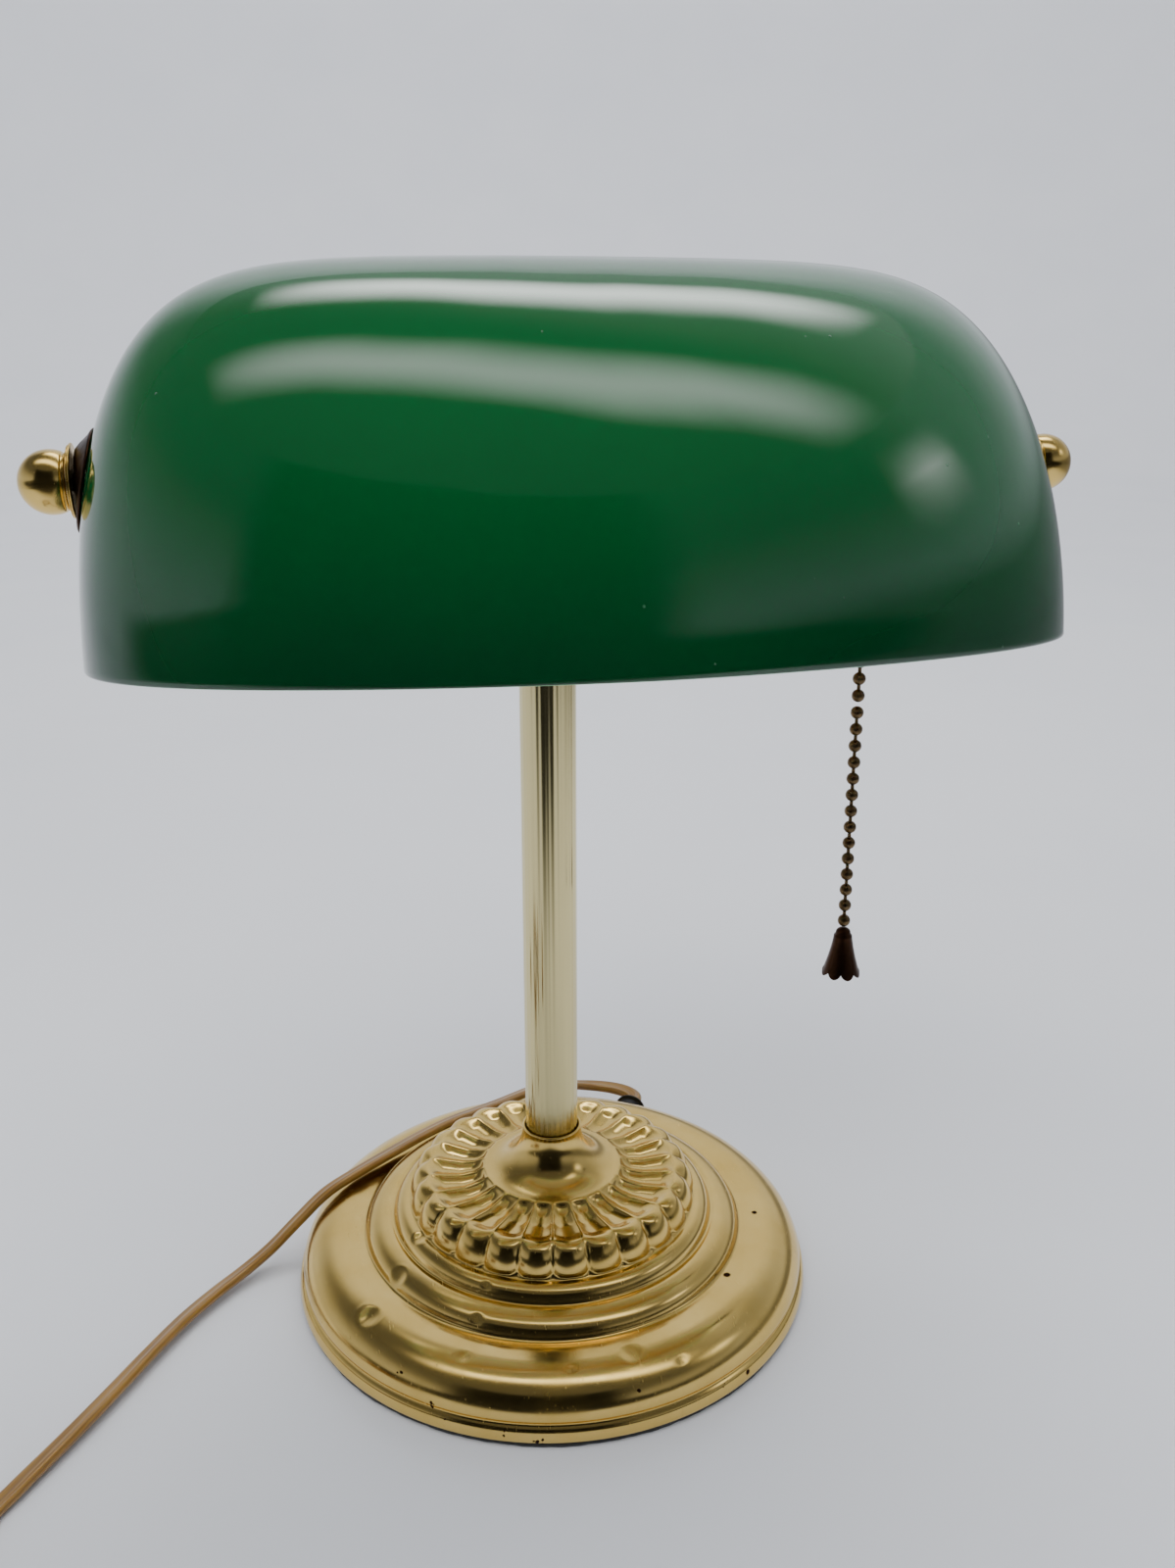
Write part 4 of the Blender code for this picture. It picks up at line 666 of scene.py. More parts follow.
class LAMP_OT_base(bpy.types.Operator):
    """Builds the stamped base with its lobed crown, and its felt"""
    bl_idname = "lamp.base"
    bl_label = "Base"

    def execute(self, context):
        lamp = settings(context)
        line = stamping_line(lamp.base.radius)
        radius, height = line[:, 0], line[:, 1]
        ahead = np.gradient(line, axis=0)
        normal = np.column_stack((ahead[:, 1], -ahead[:, 0])) / np.linalg.norm(ahead, axis=1)[:, None]
        # Lobes bulge out on the crown's shoulder; inside its top they carry on as sunken flutes.
        rise = np.interp(radius, [18.2, 19.4, 21.5, 29.5, 32.2, 33.3, 35.0, 37.6, 38.2],
                         [0, -0.6, -1, -1, -0.35, 0.3, 1, 0.9, 0])
        rise = np.where((height > 22.6) & (height < 31.5), rise, 0.0)
        rise = rise * np.where(radius > 32.5, np.interp(height, [22.6, 23.6], [0, 1]), 1.0)
        amount = np.where(rise > 0, rise * lamp.base.lobe_depth, rise * lamp.base.flute_depth)
        segments = lamp.base.lobes * LOBE_STEPS
        angle = np.arange(segments) * TAU / segments + FIRST_LOBE
        lobe = np.abs(np.sin(lamp.base.lobes / 2 * (angle - FIRST_LOBE))) ** 0.72
        lift = amount[:, None] * lobe[None, :] - np.where(rise > 0, 0.6 * rise, 0.0)[:, None]
        r = radius[:, None] + normal[:, :1] * lift
        z = height[:, None] + normal[:, 1:] * lift
        grid = np.stack((r * np.cos(angle), r * np.sin(angle), z), -1)
        # Knocks: shallow dents, each with a raised lip round it.
        outward = np.stack((normal[:, :1] * np.cos(angle), normal[:, :1] * np.sin(angle),
                            normal[:, 1:] * np.ones(segments)), -1)
        for azimuth, ring, width, depth in DENTS:
            at = math.radians(azimuth)
            row = np.argmin(np.abs(radius - ring) + 100 * (height > 24))
            centre = np.array([ring * math.cos(at), ring * math.sin(at), height[row]])
            away = np.linalg.norm(grid - centre, axis=2) / width
            push = depth * (0.22 * np.exp(-((away - 1.25) / 0.35) ** 2) - np.exp(-away ** 2))
            grid = grid + push[..., None] * outward
        inside = inner_line(lamp.base.radius)
        back = np.stack((inside[:, :1] * np.cos(angle), inside[:, :1] * np.sin(angle),
                         inside[:, 1:] * np.ones(segments)), -1)
        shell = surface("base_stamping", np.concatenate((grid, back)), lacquered_brass(lamp), wrap_v=True)
        fit(shell, "stand", ["base_shell"])

        # Felt: a disc whose cut edge wanders by a few tenths of a millimetre.
        felt_radius, thick = lamp.base.radius - 0.9, 1.3
        edge = ringed([(0, 0.0), (felt_radius, 0.0), (felt_radius, thick), (0, thick)], 0.35)
        edge = np.vstack(([(0, 0.0)], edge[4:-4], [(0, thick)]))  # the corners on the axis stay sharp

        def wander(profile, t):
            ripple = 0.10 * np.sin(7 * t + 1.0) + 0.08 * np.sin(17 * t)
            ripple = ripple + 0.06 * np.sin(41 * t + 2.0) + 0.05 * np.sin(97 * t)
            return profile[:, :1] + ripple * (profile[:, :1] > 60)

        felt = turned("felt_disc", edge, pressed_felt(lamp), segments=360, reach=wander)
        fit(felt, "stand", ["felt_pad"])
        finish_node("base_weight", cast_iron(lamp))
        return {"FINISHED"}


# --- Stem and yoke ----------------------------------------------------------------------------------------

def hexagon(bore, corners, low, high):
    """A nut's profile and its radius by angle: round in the bore, six-sided outside, its top corners chamfered."""
    profile = ringed([(bore, low), (corners, low), (corners, high), (bore, high)], 0.25)

    def reach(rows, t):
        flat = math.cos(math.radians(30)) / np.cos((t % (TAU / 6)) - TAU / 12)
        outside = rows[:, :1] > bore + 0.6
        top = np.clip((rows[:, 1:] - high + 0.7) / 0.7, 0, 1) * 0.06
        return np.where(outside, rows[:, :1] * np.minimum(flat, 1.0 - top), rows[:, :1] * np.ones_like(t))

    return profile, reach


class LAMP_OT_stem(bpy.types.Operator):
    """Builds the reeded stem, its collar, the yoke and the nuts that hold them"""
    bl_idname = "lamp.stem"
    bl_label = "Stem and yoke"

    def execute(self, context):
        lamp = settings(context)
        low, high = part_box("stem_tube")
        low, high = low[2] / MM, high[2] / MM
        radius, depth, reeds = lamp.stem.radius, lamp.stem.reed_depth, lamp.stem.reeds
        heights = np.linspace(low + 0.4, high - 0.4, 12)
        profile = [(radius - 0.95, low), (radius - 0.3, low), (radius, low + 0.3)]
        profile += [(radius, h) for h in heights] + [(radius, high - 0.3), (radius - 0.3, high), (radius - 0.95, high)]

        def reeded(rows, t):
            # Shallow reeds, as a wave round the tube.
            groove = depth * (0.5 + 0.5 * np.cos(reeds * t))
            return rows[:, :1] - groove * (rows[:, :1] > radius - 0.2)

        tube = turned("reeded_tube", profile, pale_brass(lamp), segments=reeds * 12, reach=reeded)
        fit(tube, "stand", ["stem_tube"])

        low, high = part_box("stem_collar")
        low, high = low[2] / MM, high[2] / MM
        profile = ringed([(NUT_BORE, low), (7.9, low), (9.4, low + 0.8), (9.4, high - 0.8), (7.9, high),
                          (NUT_BORE, high)], 0.6)
        fit(turned("stem_cap_ring", profile, lacquered_brass(lamp)), "stand", ["stem_collar"])

        low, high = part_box("yoke_strap")
        bottom, top, half = low[2] / MM, high[2] / MM, (high[0] - low[0]) / 2 / MM
        t = 0.8  # half of the strap's thickness
        middle = KNOB_AXIS[0]
        bend = 8.0
        right = arc((half - bend, bottom + bend), (bend - t, bend - t), -90, 0, 16)
        tip = np.column_stack((np.full(10, half - t), np.linspace(bottom + bend + 2, top - 0.3, 10)))
        line = np.vstack((right, tip))
        flat = np.column_stack((np.linspace(-(half - bend) + 2, half - bend - 2, 40), np.full(40, bottom + t)))
        line = np.vstack((line[::-1] * (-1, 1), flat, line))
        path = np.column_stack((line[:, 0] + middle, np.zeros(len(line)), line[:, 1]))
        section = ringed([(-6.0, -t), (6.0, -t), (6.0, t), (-6.0, t)], 0.45, 5)
        strap = swept("yoke_band", path, section, np.tile((0.0, 1.0, 0.0), (len(path), 1)), satin_brass(lamp))
        stem_hole = turned("hole_stem", [(0, bottom - 3), (NUT_BORE, bottom - 3), (NUT_BORE, bottom + 5), (0, bottom + 5)],
                           zinc_steel(lamp), segments=48)
        stud_holes = turned("hole_studs", [(0, -130), (STUD_BORE, -130), (STUD_BORE, 130), (0, 130)], zinc_steel(lamp),
                            KNOB_AXIS, (1, 0, 0), 32)
        fit(drilled(strap, [stem_hole, stud_holes]), "stand", ["yoke_strap"])

        for word, corners in (("top", 7.8), ("bottom", 9.2)):
            low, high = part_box(f"{word}_nut")
            profile, reach = hexagon(NUT_BORE, corners, low[2] / MM, high[2] / MM)
            nut = turned(f"{word}_hex_nut", profile, zinc_steel(lamp), reach=reach)
            fit(nut, "stand", [f"{word}_nut"])

        # Thread: ridges at a pitch of 1.4 mm that climb as they go round, 0.25 mm deep.
        low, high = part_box("threaded_rod")
        low, high = low[2] / MM, high[2] / MM
        heights = np.concatenate((np.arange(low + 0.3, low + 12, 0.28), [low + 13, high - 13],
                                  np.arange(high - 12, high - 0.3, 0.28)))
        profile = [(3.6, low), (4.5, low)] + [(4.85, h) for h in heights] + [(4.5, high), (3.6, high)]

        def thread(rows, t):
            ridge = 0.125 * (1 + np.cos(TAU * rows[:, 1:] / 1.4 - t))
            return rows[:, :1] - ridge * (rows[:, :1] > 4.6)

        rod = turned("threaded_tube", profile, zinc_steel(lamp), segments=48, reach=thread)
        fit(rod, "stand", ["threaded_rod"])
        for name in ("top_washer", "bottom_washer"):
            low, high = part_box(name)
            outer = (high[0] - low[0]) / 2 / MM
            low, high = low[2] / MM, high[2] / MM
            profile = ringed([(NUT_BORE, low), (outer, low), (outer, high), (NUT_BORE, high)], 0.2)
            fit(turned(f"{name}_plate", profile, zinc_steel(lamp)), "stand", [name])
        finish_node("inner_cord", inner_vinyl(lamp))
        return {"FINISHED"}


# --- Shade ------------------------------------------------------------------------------------------------

END_CURVE = (2.391, 1 / 6.08)  # how the ends draw in towards the top
SIDE_CURVE = (1.744, 1 / 2.158)  # how the front and back draw in towards the top


def glass_reach(share, half_length, half_width):
    """Half the length and half the width at a share k of the height, each as (1 - k^p)^q of its value at the rim."""
    k = np.clip(share, 0, 1)
    along = (1 - k ** END_CURVE[0]) ** END_CURVE[1]
    across = np.maximum(1 - k ** SIDE_CURVE[0], 0) ** SIDE_CURVE[1]
    return half_length * along, half_width * across


def outline_powers(share):
    """The powers of x and y in the shade's outline, which both change evenly from the rim to the top."""
    return 1.661 + 1.411 * share, 3.059 - 1.563 * share


def outline(share, angle):
    """Points of the outline |x|^n + |y|^m = 1 at a share of the height."""
    n, m = outline_powers(share)
    x, y = np.cos(angle), np.sin(angle)
    return np.sign(x) * np.abs(x) ** (2 / n), np.sign(y) * np.abs(y) ** (2 / m)


def glass_surface(lamp, inset, shares, columns):
    """Rows of the closed outline, which shrinks towards the top: (a x, b y, z) with a and b from glass_reach."""
    a0, b0, height = lamp.shade.half_length - inset, lamp.shade.half_width - inset, lamp.shade.height - inset
    dense = np.linspace(0, TAU, 8001)
    x, y = outline(0.3, dense)
    lengths = np.concatenate(([0], np.cumsum(np.hypot(np.diff(x * a0), np.diff(y * b0)))))
    even = np.interp(np.linspace(0, lengths[-1], columns, endpoint=False), lengths, dense)
    x, y = outline(shares[:, None], even)
    a, b = glass_reach(shares, a0, b0)
    z = shares * height - SHADE_DROP
    return np.stack((a[:, None] * x, b[:, None] * y, z[:, None] * np.ones(columns)), -1)


def wall_at(lamp, y, z, inset=0.0):
    """How far along X the glass stands from its middle, at a place beside the knobs' axis."""
    share = (SHADE_DROP + z) / (lamp.shade.height - inset)
    a, b = glass_reach(share, lamp.shade.half_length - inset, lamp.shade.half_width - inset)
    n, m = outline_powers(share)
    return a * (1 - (np.abs(y) / b) ** m) ** (1 / n)


def tilted(points):
    """Takes points in the shade's own frame to the lamp's, with the shade at rest."""
    return points @ np.array(Matrix.Rotation(SHADE_TILT, 3, "X")).T + KNOB_AXIS


class LAMP_OT_shade(bpy.types.Operator):
    """Builds the cased glass shade"""
    bl_idname = "lamp.shade"
    bl_label = "Glass shade"

    def execute(self, context):
        lamp = settings(context)
        columns = 288
        shares = np.sin(np.linspace(0, math.pi / 2, 90)[:-1])
        outer = glass_surface(lamp, 0.0, shares, columns)
        inner = glass_surface(lamp, lamp.shade.glass, shares, columns)
        # The rim is ground flat, with both its corners eased by 0.6 mm.
        eased = ((0.0, 0.5), (0.06, 0.15), (0.2, 0.0), (0.8, 0.0), (0.94, 0.15), (1.0, 0.5))
        rim = [outer[0] + (inner[0] - outer[0]) * share + (0, 0, lift) for share, lift in eased]
        above_rim = 0.7 - SHADE_DROP
        outer, inner = outer[outer[:, 0, 2] > above_rim], inner[inner[:, 0, 2] > above_rim]
        grid = np.concatenate((outer[::-1], rim, inner))
        bands = [0] * (len(outer) + 1) + [2] * 3 + [1] * (len(inner) + 1)
        glass = surface("glass_shade", tilted(grid), [green_glass(lamp), opal_glass(lamp), ground_edge(lamp)],
                        start_pole=True, end_pole=True, bands=bands)
        drill = turned("hole_knobs", [(0, -125), (4.4, -125), (4.4, 125), (0, 125)], ground_edge(lamp), KNOB_AXIS,
                       (1, 0, 0), 40)
        fit(drilled(glass, [drill]), "shade", ["shade"])
        return {"FINISHED"}


# --- Knobs ------------------------------------------------------------------------------------------------

# Places along the knobs' axis are distances from its middle, towards either end.
BALL_CENTRE = 115.2


def fitted(name, radii, lifts, material, side, segments=96):
    """A washer round the knobs' axis: a ring of each radius, whose lift gives its reach along X at each (y, z)."""
    t = np.arange(segments) * TAU / segments
    radii = np.array(radii)[:, None]
    y, z = radii * np.cos(t), radii * np.sin(t)
    x = np.stack([lift(y[row], z[row]) for row, lift in enumerate(lifts)])
    return surface(name, tilted(np.stack((x * side, y, z), -1)), material, wrap_v=True)


class LAMP_OT_knobs(bpy.types.Operator):
    """Builds the ball knobs with their rings, cup washers, cushions, studs and nuts, on both ends"""
    bl_idname = "lamp.knobs"
    bl_label = "Knobs"

    def execute(self, context):
        lamp = settings(context)
        ball = lamp.fittings.ball_radius
        for side, word in ((1, "right"), (-1, "left")):
            # The cup's edge follows the glass, and its middle is level, for the collar ring to sit on.
            def on_glass(lift):
                return lambda y, z: wall_at(lamp, y, z) + lift

            def raised(lift, share, level):
                return lambda y, z: (1 - share) * (wall_at(lamp, y, z) + lift) + share * level

            radii = [3.4, 5.6, 7.6, 9.8, 10.8, 11.1, 11.0, 10.6, 9.7, 8.2, 7.0, 6.2, 3.4]
            lifts = [raised(2.6, 1.0, 109.2), raised(1.6, 0.9, 109.1), raised(0.5, 0.5, 108.6)]
            lifts += [on_glass(value) for value in (0.2, 0.12, 0.3, 0.6, 0.85)]
            lifts += [raised(0.95, 0.1, 109.4), raised(1.2, 0.55, 109.6), raised(2.2, 0.9, 109.7)]
            lifts += [raised(2.2, 1.0, 109.78)] * 2
            cup = fitted(f"{word}_cup_dish", radii, lifts, dark_bronze(lamp), side)
            fit(cup, "shade", [f"{word}_cup_washer"])

            def glass(lift):
                return lambda y, z: wall_at(lamp, y, z, lamp.shade.glass) + lift

            def ear(lift):
                return lambda y, z: np.full_like(y, 99.6 + lift)

            radii = [2.7, 5.9, 6.5, 6.5, 5.9, 2.7]
            lifts = [ear(0.35), ear(0.35), ear(0.6), glass(-0.9), glass(-0.75), glass(-0.75)]
            cushion = fitted(f"{word}_rubber_ring", radii, lifts, black_rubber(lamp), side, 64)
            fit(cushion, "shade", [f"{word}_cushion"])

            # Collar ring: two beads with a groove between them.
            profile = np.vstack(([(2.7, 110.05), (3.6, 110.05), (6.6, 110.35)],
                                 arc((7.4, 110.62), (0.7, 0.3), -90, 60, 8), [(7.55, 110.9)],
                                 arc((7.1, 111.1), (0.62, 0.28), -40, 90, 7), [(4.6, 111.35), (2.7, 111.35)]))
            ring = turned(f"{word}_collar_ring", profile, lacquered_brass(lamp), KNOB_AXIS, (side, 0, 0))
            fit(ring, "shade", [f"{word}_knob_ring"])

            # Ball: a small neck bead, then the ball itself, with a blind hole for the stud.
            profile = np.vstack(([(0, 114.0), (STUD_BORE, 114.0), (STUD_BORE, 111.75), (4.4, 111.72)],
                                 arc((5.5, 112.0), (0.6, 0.28), -100, 60, 8), [(5.72, 112.3)],
                                 arc((0, BALL_CENTRE), (ball, ball), -23, 90, 36)))
            knob = turned(f"{word}_ball_knob", profile, lacquered_brass(lamp), KNOB_AXIS, (side, 0, 0), 128)
            fit(knob, f"{word}_knob", [f"{word}_knob"])

            profile, reach = hexagon(STUD_BORE, 4.6, 94.7, 97.7)
            nut = turned(f"{word}_small_nut", profile, zinc_steel(lamp), KNOB_AXIS, (side, 0, 0), reach=reach)
            fit(nut, "stand", [f"{word}_ear_nut"])
            finish_node(f"{word}_stud", zinc_steel(lamp))
        return {"FINISHED"}


# --- Socket and bulb --------------------------------------------------------------------------------------

class LAMP_OT_socket(bpy.types.Operator):
    """Builds the pull-chain socket, its bracket and the bulb"""
    bl_idname = "lamp.socket"
    bl_label = "Socket and bulb"

    def execute(self, context):
        lamp = settings(context)
        along = (1, 0, 0)
        shell_r = lamp.fittings.socket_radius
        # Cap: domed back, a rolled bead at the rim and a row of pressed ribs over its side.
        outside = np.vstack(([(NUT_BORE, 80.2), (9.8, 80.2)], arc((9.8, 72.6), (7.4, 7.6), 80, 20, 14),
                             [(17.2, 74.4), (17.2, 72.0)], arc((16.95, 71.5), (0.35, 0.5), 60, -90, 6)))
        inside = np.array([(16.62, 71.0), (16.62, 74.6), (15.9, 76.2), (9.6, 79.6), (NUT_BORE, 79.6)])

        def ribbed(rows, t):
            part = np.clip(1 - np.abs(rows[:, 1:] - 74.6) / 2.0, 0, 1) * (rows[:, :1] > 16.7)
            return rows[:, :1] + 0.16 * part * np.cos(48 * t)

        cap = turned("socket_dome", np.vstack((outside, inside)), satin_brass(lamp), KNOB_AXIS, along, 240, ribbed)
        fit(cap, "stand", ["socket_cap"])

        # Shell: a rolled mouth, two beads pressed outwards and a ribbed band where it is gripped.
        outside = np.vstack((arc((shell_r, 31.3), (0.8, 0.8), -90, 80, 9), [(shell_r, 32.6), (shell_r, 40.2)],
                             arc((shell_r, 41.2), (0.45, 0.9), -85, 85, 7), [(shell_r, 42.4), (shell_r, 43.6)],
                             [(shell_r, h) for h in np.linspace(44, 56, 9)],
                             arc((shell_r, 57.6), (0.45, 0.9), -85, 85, 7), [(shell_r, 74.2)]))
        inside = np.array([(shell_r - 0.6, 74.2), (shell_r - 0.6, 30.6)])

        def gripped(rows, t):
            part = np.clip((rows[:, 1:] - 44.5) / 1.5, 0, 1) * np.clip((56 - rows[:, 1:]) / 1.5, 0, 1)
            part = part * (rows[:, :1] > shell_r - 0.3)
            return rows[:, :1] + 0.14 * part * np.cos(72 * t)

        shell = turned("socket_sleeve", np.vstack((outside, inside)), satin_brass(lamp), KNOB_AXIS, along, 288, gripped)
        guide_at = KNOB_AXIS + (65.6, 0, 0)
        drill = turned("hole_guide", [(0, 8.0), (3.5, 8.0), (3.5, 20.0), (0, 20.0)], satin_brass(lamp), guide_at,
                       GUIDE_AXIS, 32)
        fit(drilled(shell, [drill]), "stand", ["socket_shell"])

        # Guide: a short tube whose mouth flares like a bell.
        profile = np.vstack(([(2.2, 10.1), (3.2, 10.1), (3.2, 18.6)], arc((3.6, 19.6), (0.75, 0.8), -70, 90, 9),
                             [(2.8, 20.2), (2.25, 19.2)]))
        guide = turned("chain_bell_guide", profile, satin_brass(lamp), guide_at, GUIDE_AXIS, 48)
        fit(guide, "stand", ["chain_guide"])

        low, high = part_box("socket_bracket")
        bottom, top, face = low[2] / MM, high[2] / MM, high[0] / MM
        half = 0.75  # of the bracket's thickness
        corner = arc((face - 2.3, bottom + 2.3), (1.55, 1.55), -90, 0, 8)
        line = np.vstack(([(face - 12.2, bottom + half), (face - 6.0, bottom + half)], corner,
                          [(face - half, bottom + 8), (face - half, top)]))
        line = softened(line, 0.5, 0.2)
        path = np.column_stack((line[:, 0], np.zeros(len(line)), line[:, 1]))
        section = ringed([(-5.5, -half), (5.5, -half), (5.5, half), (-5.5, half)], 0.4, 5)
        angle = swept("socket_angle", path, section, np.tile((0.0, 1.0, 0.0), (len(path), 1)), satin_brass(lamp))
        drill = turned("hole_nipple", [(0, 76), (NUT_BORE, 76), (NUT_BORE, 88), (0, 88)], zinc_steel(lamp), KNOB_AXIS,
                       along, 40)
        fit(drilled(angle, [drill]), "stand", ["socket_bracket"])
        for word in ("inner", "outer"):
            low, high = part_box(f"bracket_rivet_{word}")
            centre, bottom = (low[0] + high[0]) / 2 / MM, low[2] / MM
            profile = np.vstack(([(0, bottom)], arc((0, bottom), (1.9, 1.2), 0, 90, 12)))
            rivet = turned(f"rivet_head_{word}", profile, zinc_steel(lamp), (centre, 0, 0), segments=40)
            fit(rivet, "stand", [f"bracket_rivet_{word}"])
        profile, reach = hexagon(NUT_BORE, 7.6, 82.3, 85.0)
        nut = turned("nipple_hex_nut", profile, zinc_steel(lamp), KNOB_AXIS, along, reach=reach)
        fit(nut, "stand", ["nipple_nut"])

        # Cap of the bulb: a rolled screw thread of 3.63 mm pitch, so the ridge climbs once each turn.
        heights = np.arange(33.6, 51.0, 0.22)
        profile = np.vstack(([(0, 33.6), (12.2, 33.6)], [(12.55, h) for h in heights + 0.2],
                             [(12.2, 51.4), (11.2, 53.2), (6.0, 54.6), (0, 54.6)]))
        low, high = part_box("bulb_cap")
        shift = (high[0] / MM - KNOB_AXIS[0]) - 54.6
        profile[:, 1] += shift

        def screw(rows, t):
            side = (rows[:, :1] > 12.5) * np.clip((rows[:, 1:] - 34.6 - shift) / 2, 0, 1)
            return rows[:, :1] + 0.33 * side * (np.cos(TAU * rows[:, 1:] / 3.63 - t) - 0.1)

        cap = turned("bulb_screw_cap", profile, cap_aluminium(lamp), KNOB_AXIS, along, 96, screw)
        fit(cap, "bulb", ["bulb_cap"])

        radius = lamp.fittings.bulb_radius
        low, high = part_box("bulb_glass")
        neck_end, tip = high[0] / MM - KNOB_AXIS[0], low[0] / MM - KNOB_AXIS[0]
        # Envelope: a glass skin of 0.9 mm with an open neck, from the round tip inside to the round tip outside.
        skin, neck_radius = 0.9, 12.1
        swell = 0.5 - 0.5 * np.cos(np.linspace(0, math.pi, 16))
        neck = np.column_stack((neck_radius + (radius - neck_radius) * swell, np.linspace(neck_end - 1.5, 16.5, 16)))
        outside = np.vstack(([(neck_radius, neck_end)], neck, arc((0, tip + radius), (radius, radius), 0, -90, 26)))
        inside = np.vstack((arc((0, tip + radius), (radius - skin, radius - skin), -90, 0, 16),
                            [(radius - skin, 18), (neck_radius - skin, neck_end - 1.5), (neck_radius - skin, neck_end)]))
        rows = np.vstack((inside[1:], outside[:-1]))
        t = np.arange(96) * TAU / 96
        local = np.stack((rows[:, :1] * np.cos(t), rows[:, :1] * np.sin(t), rows[:, 1:] * np.ones(96)), -1)
        placed = local @ aim(along).T + KNOB_AXIS
        bulb = surface("bulb_envelope", placed, frosted_glass(lamp), start_pole=True, end_pole=True)
        fit(bulb, "bulb", ["bulb_glass"])

        low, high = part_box("bulb_contact")
        end = low[0] / MM - KNOB_AXIS[0]
        profile = np.vstack(([(0, end)], [(3.4, end)], arc((0, end + 0.4), (3.4, 0.7), 0, 90, 10)))
        fit(turned("bulb_solder_button", profile, zinc_steel(lamp), KNOB_AXIS, along, 40), "bulb", ["bulb_contact"])
        for name, material in (("socket_nipple", zinc_steel), ("socket_liner", fibre_paper), ("switch_body", moulded_phenolic),
                               ("switch_drum", moulded_phenolic), ("contact_plate", moulded_phenolic),
                               ("centre_contact", contact_copper), ("screw_shell", contact_copper)):
            finish_node(name, material(lamp))
        return {"FINISHED"}


# --- Chain ------------------------------------------------------------------------------------------------

def ball_chain(name, drops, material, origin, axis):
    """Balls of 3.2 mm on short links: each ball is an arc of the profile, cut off where its link leaves it."""
    link_radius = 0.45
    dip = math.degrees(math.asin(link_radius / BEAD_RADIUS))
    line = [(0, drops[0] - BEAD_RADIUS)]
    for index, drop in enumerate(drops):
        first = -90 if index == 0 else -90 + dip
        last = 90 if index == len(drops) - 1 else 90 - dip
        ball = arc((0, drop), (BEAD_RADIUS, BEAD_RADIUS), first, last, 17)
        line.extend(ball[1:] if index == 0 else ball)
    return turned(name, np.vstack(line[:-1] + [(0, drops[-1] + BEAD_RADIUS)]), material, origin, axis, 24)


class LAMP_OT_chain(bpy.types.Operator):
    """Builds the ball chain and the bell at its end"""
    bl_idname = "lamp.chain"
    bl_label = "Pull chain"

    def execute(self, context):
        lamp = settings(context)
        bronze = antique_bronze(lamp)
        drops = [-n * BEAD_PITCH for n in range(3, -1, -1)]
        stub = ball_chain("chain_pull_beads", drops, bronze, CHAIN_KNEE, GUIDE_AXIS)
        fit(stub, "chain_stub", ["chain_stub"])
        drops = [-n * BEAD_PITCH for n in range(8, 0, -1)]
        upper = ball_chain("chain_hanging_beads", drops, bronze, CHAIN_KNEE, (0, 0, 1))
        fit(upper, "chain_upper", ["chain_upper"])
        drops = [-(n - 0.5) * BEAD_PITCH for n in range(14, 0, -1)]
        lower = ball_chain("chain_end_beads", drops, bronze, CHAIN_BEND, (0, 0, 1))
        fit(lower, "chain_lower", ["chain_lower"])

        # Bell: a small crown, a waist, and a flared skirt whose hem is cut into eight petals.
        low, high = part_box("pendant_bell")
        top, bottom = high[2] / MM, low[2] / MM
        height = top - bottom
        share = np.linspace(0, 1, 30)
        skirt = np.column_stack((2.35 + 2.45 * share ** 1.25, top - 2.4 - (height - 2.4) * share))
        outside = np.vstack(([(0, top)], arc((0, top - 1.4), (1.9, 1.4), 80, 0, 8),
                             [(2.0, top - 1.9), (2.3, top - 2.1)], skirt))
        hollow = np.column_stack((1.5 + 2.75 * share[::-1] ** 1.25, bottom + 0.1 + (height - 3.4) * share))
        line = np.vstack((outside, hollow, [(0, top - 3.2)]))
        profile = line[1:-1]
        t = np.arange(128) * TAU / 128
        petal = np.abs(np.cos(4 * t)) ** 0.7  # 1 at a petal's middle and 0 at the notch between two petals
        depth = np.clip((top - 4.5 - profile[:, 1:]) / (height - 4.5), 0, 1)
        radius = profile[:, :1] * (1 + 0.07 * depth * (petal - 0.5))
        z = profile[:, 1:] + 1.5 * (1 - petal) * depth ** 4
        local = np.stack((radius * np.cos(t), radius * np.sin(t), z), -1)
        origin = np.array([CHAIN_BEND[0], CHAIN_BEND[1], 0.0])
        bell = surface("petal_bell", local + origin, dark_bronze(lamp), start_pole=True, end_pole=True)
        fit(bell, "chain_lower", ["pendant_bell"])
        return {"FINISHED"}


# --- Cord and plug ----------------------------------------------------------------------------------------

CORD_ROUTE = [  # millimetres, from the bushing over the base's back and left, and out along the table
    (37.1, 59.4, 7.5), (38.9, 62.3, 7.5), (39.2, 65.8, 7.5), (37.2, 69.4, 7.5), (33.4, 72.2, 7.6),
    (28.4, 73.8, 8.0), (22.8, 73.4, 9.2), (17.2, 70.6, 11.6), (12.0, 66.2, 14.4), (6.8, 61.6, 16.8),
    (1.0, 57.4, 17.8), (-6.0, 53.9, 17.8), (-14.0, 50.4, 17.8), (-23.0, 45.6, 18.3), (-33.0, 39.2, 18.3),
    (-42.5, 32.6, 17.9), (-51.5, 26.4, 17.4), (-60.0, 21.2, 15.8), (-68.0, 17.0, 11.0), (-75.5, 13.2, 6.0),
    (-82.5, 8.6, 3.4), (-90.0, 1.6, 2.8), (-97.4, -7.0, 2.7), (-104.6, -17.4, 2.7), (-111.6, -28.2, 2.6),
    (-118.2, -38.0, 2.4), (-124.4, -46.6, 2.1), (-130.4, -54.8, 1.8), (-136.4, -64.4, 1.6),
]
TAIL_ROUTE = [(-212.4, -51.6, 4.2), (-206.6, -42.2, 6.0), (-198.2, -32.2, 7.0)]
COIL_CENTRE = (-176.0, -76.0)
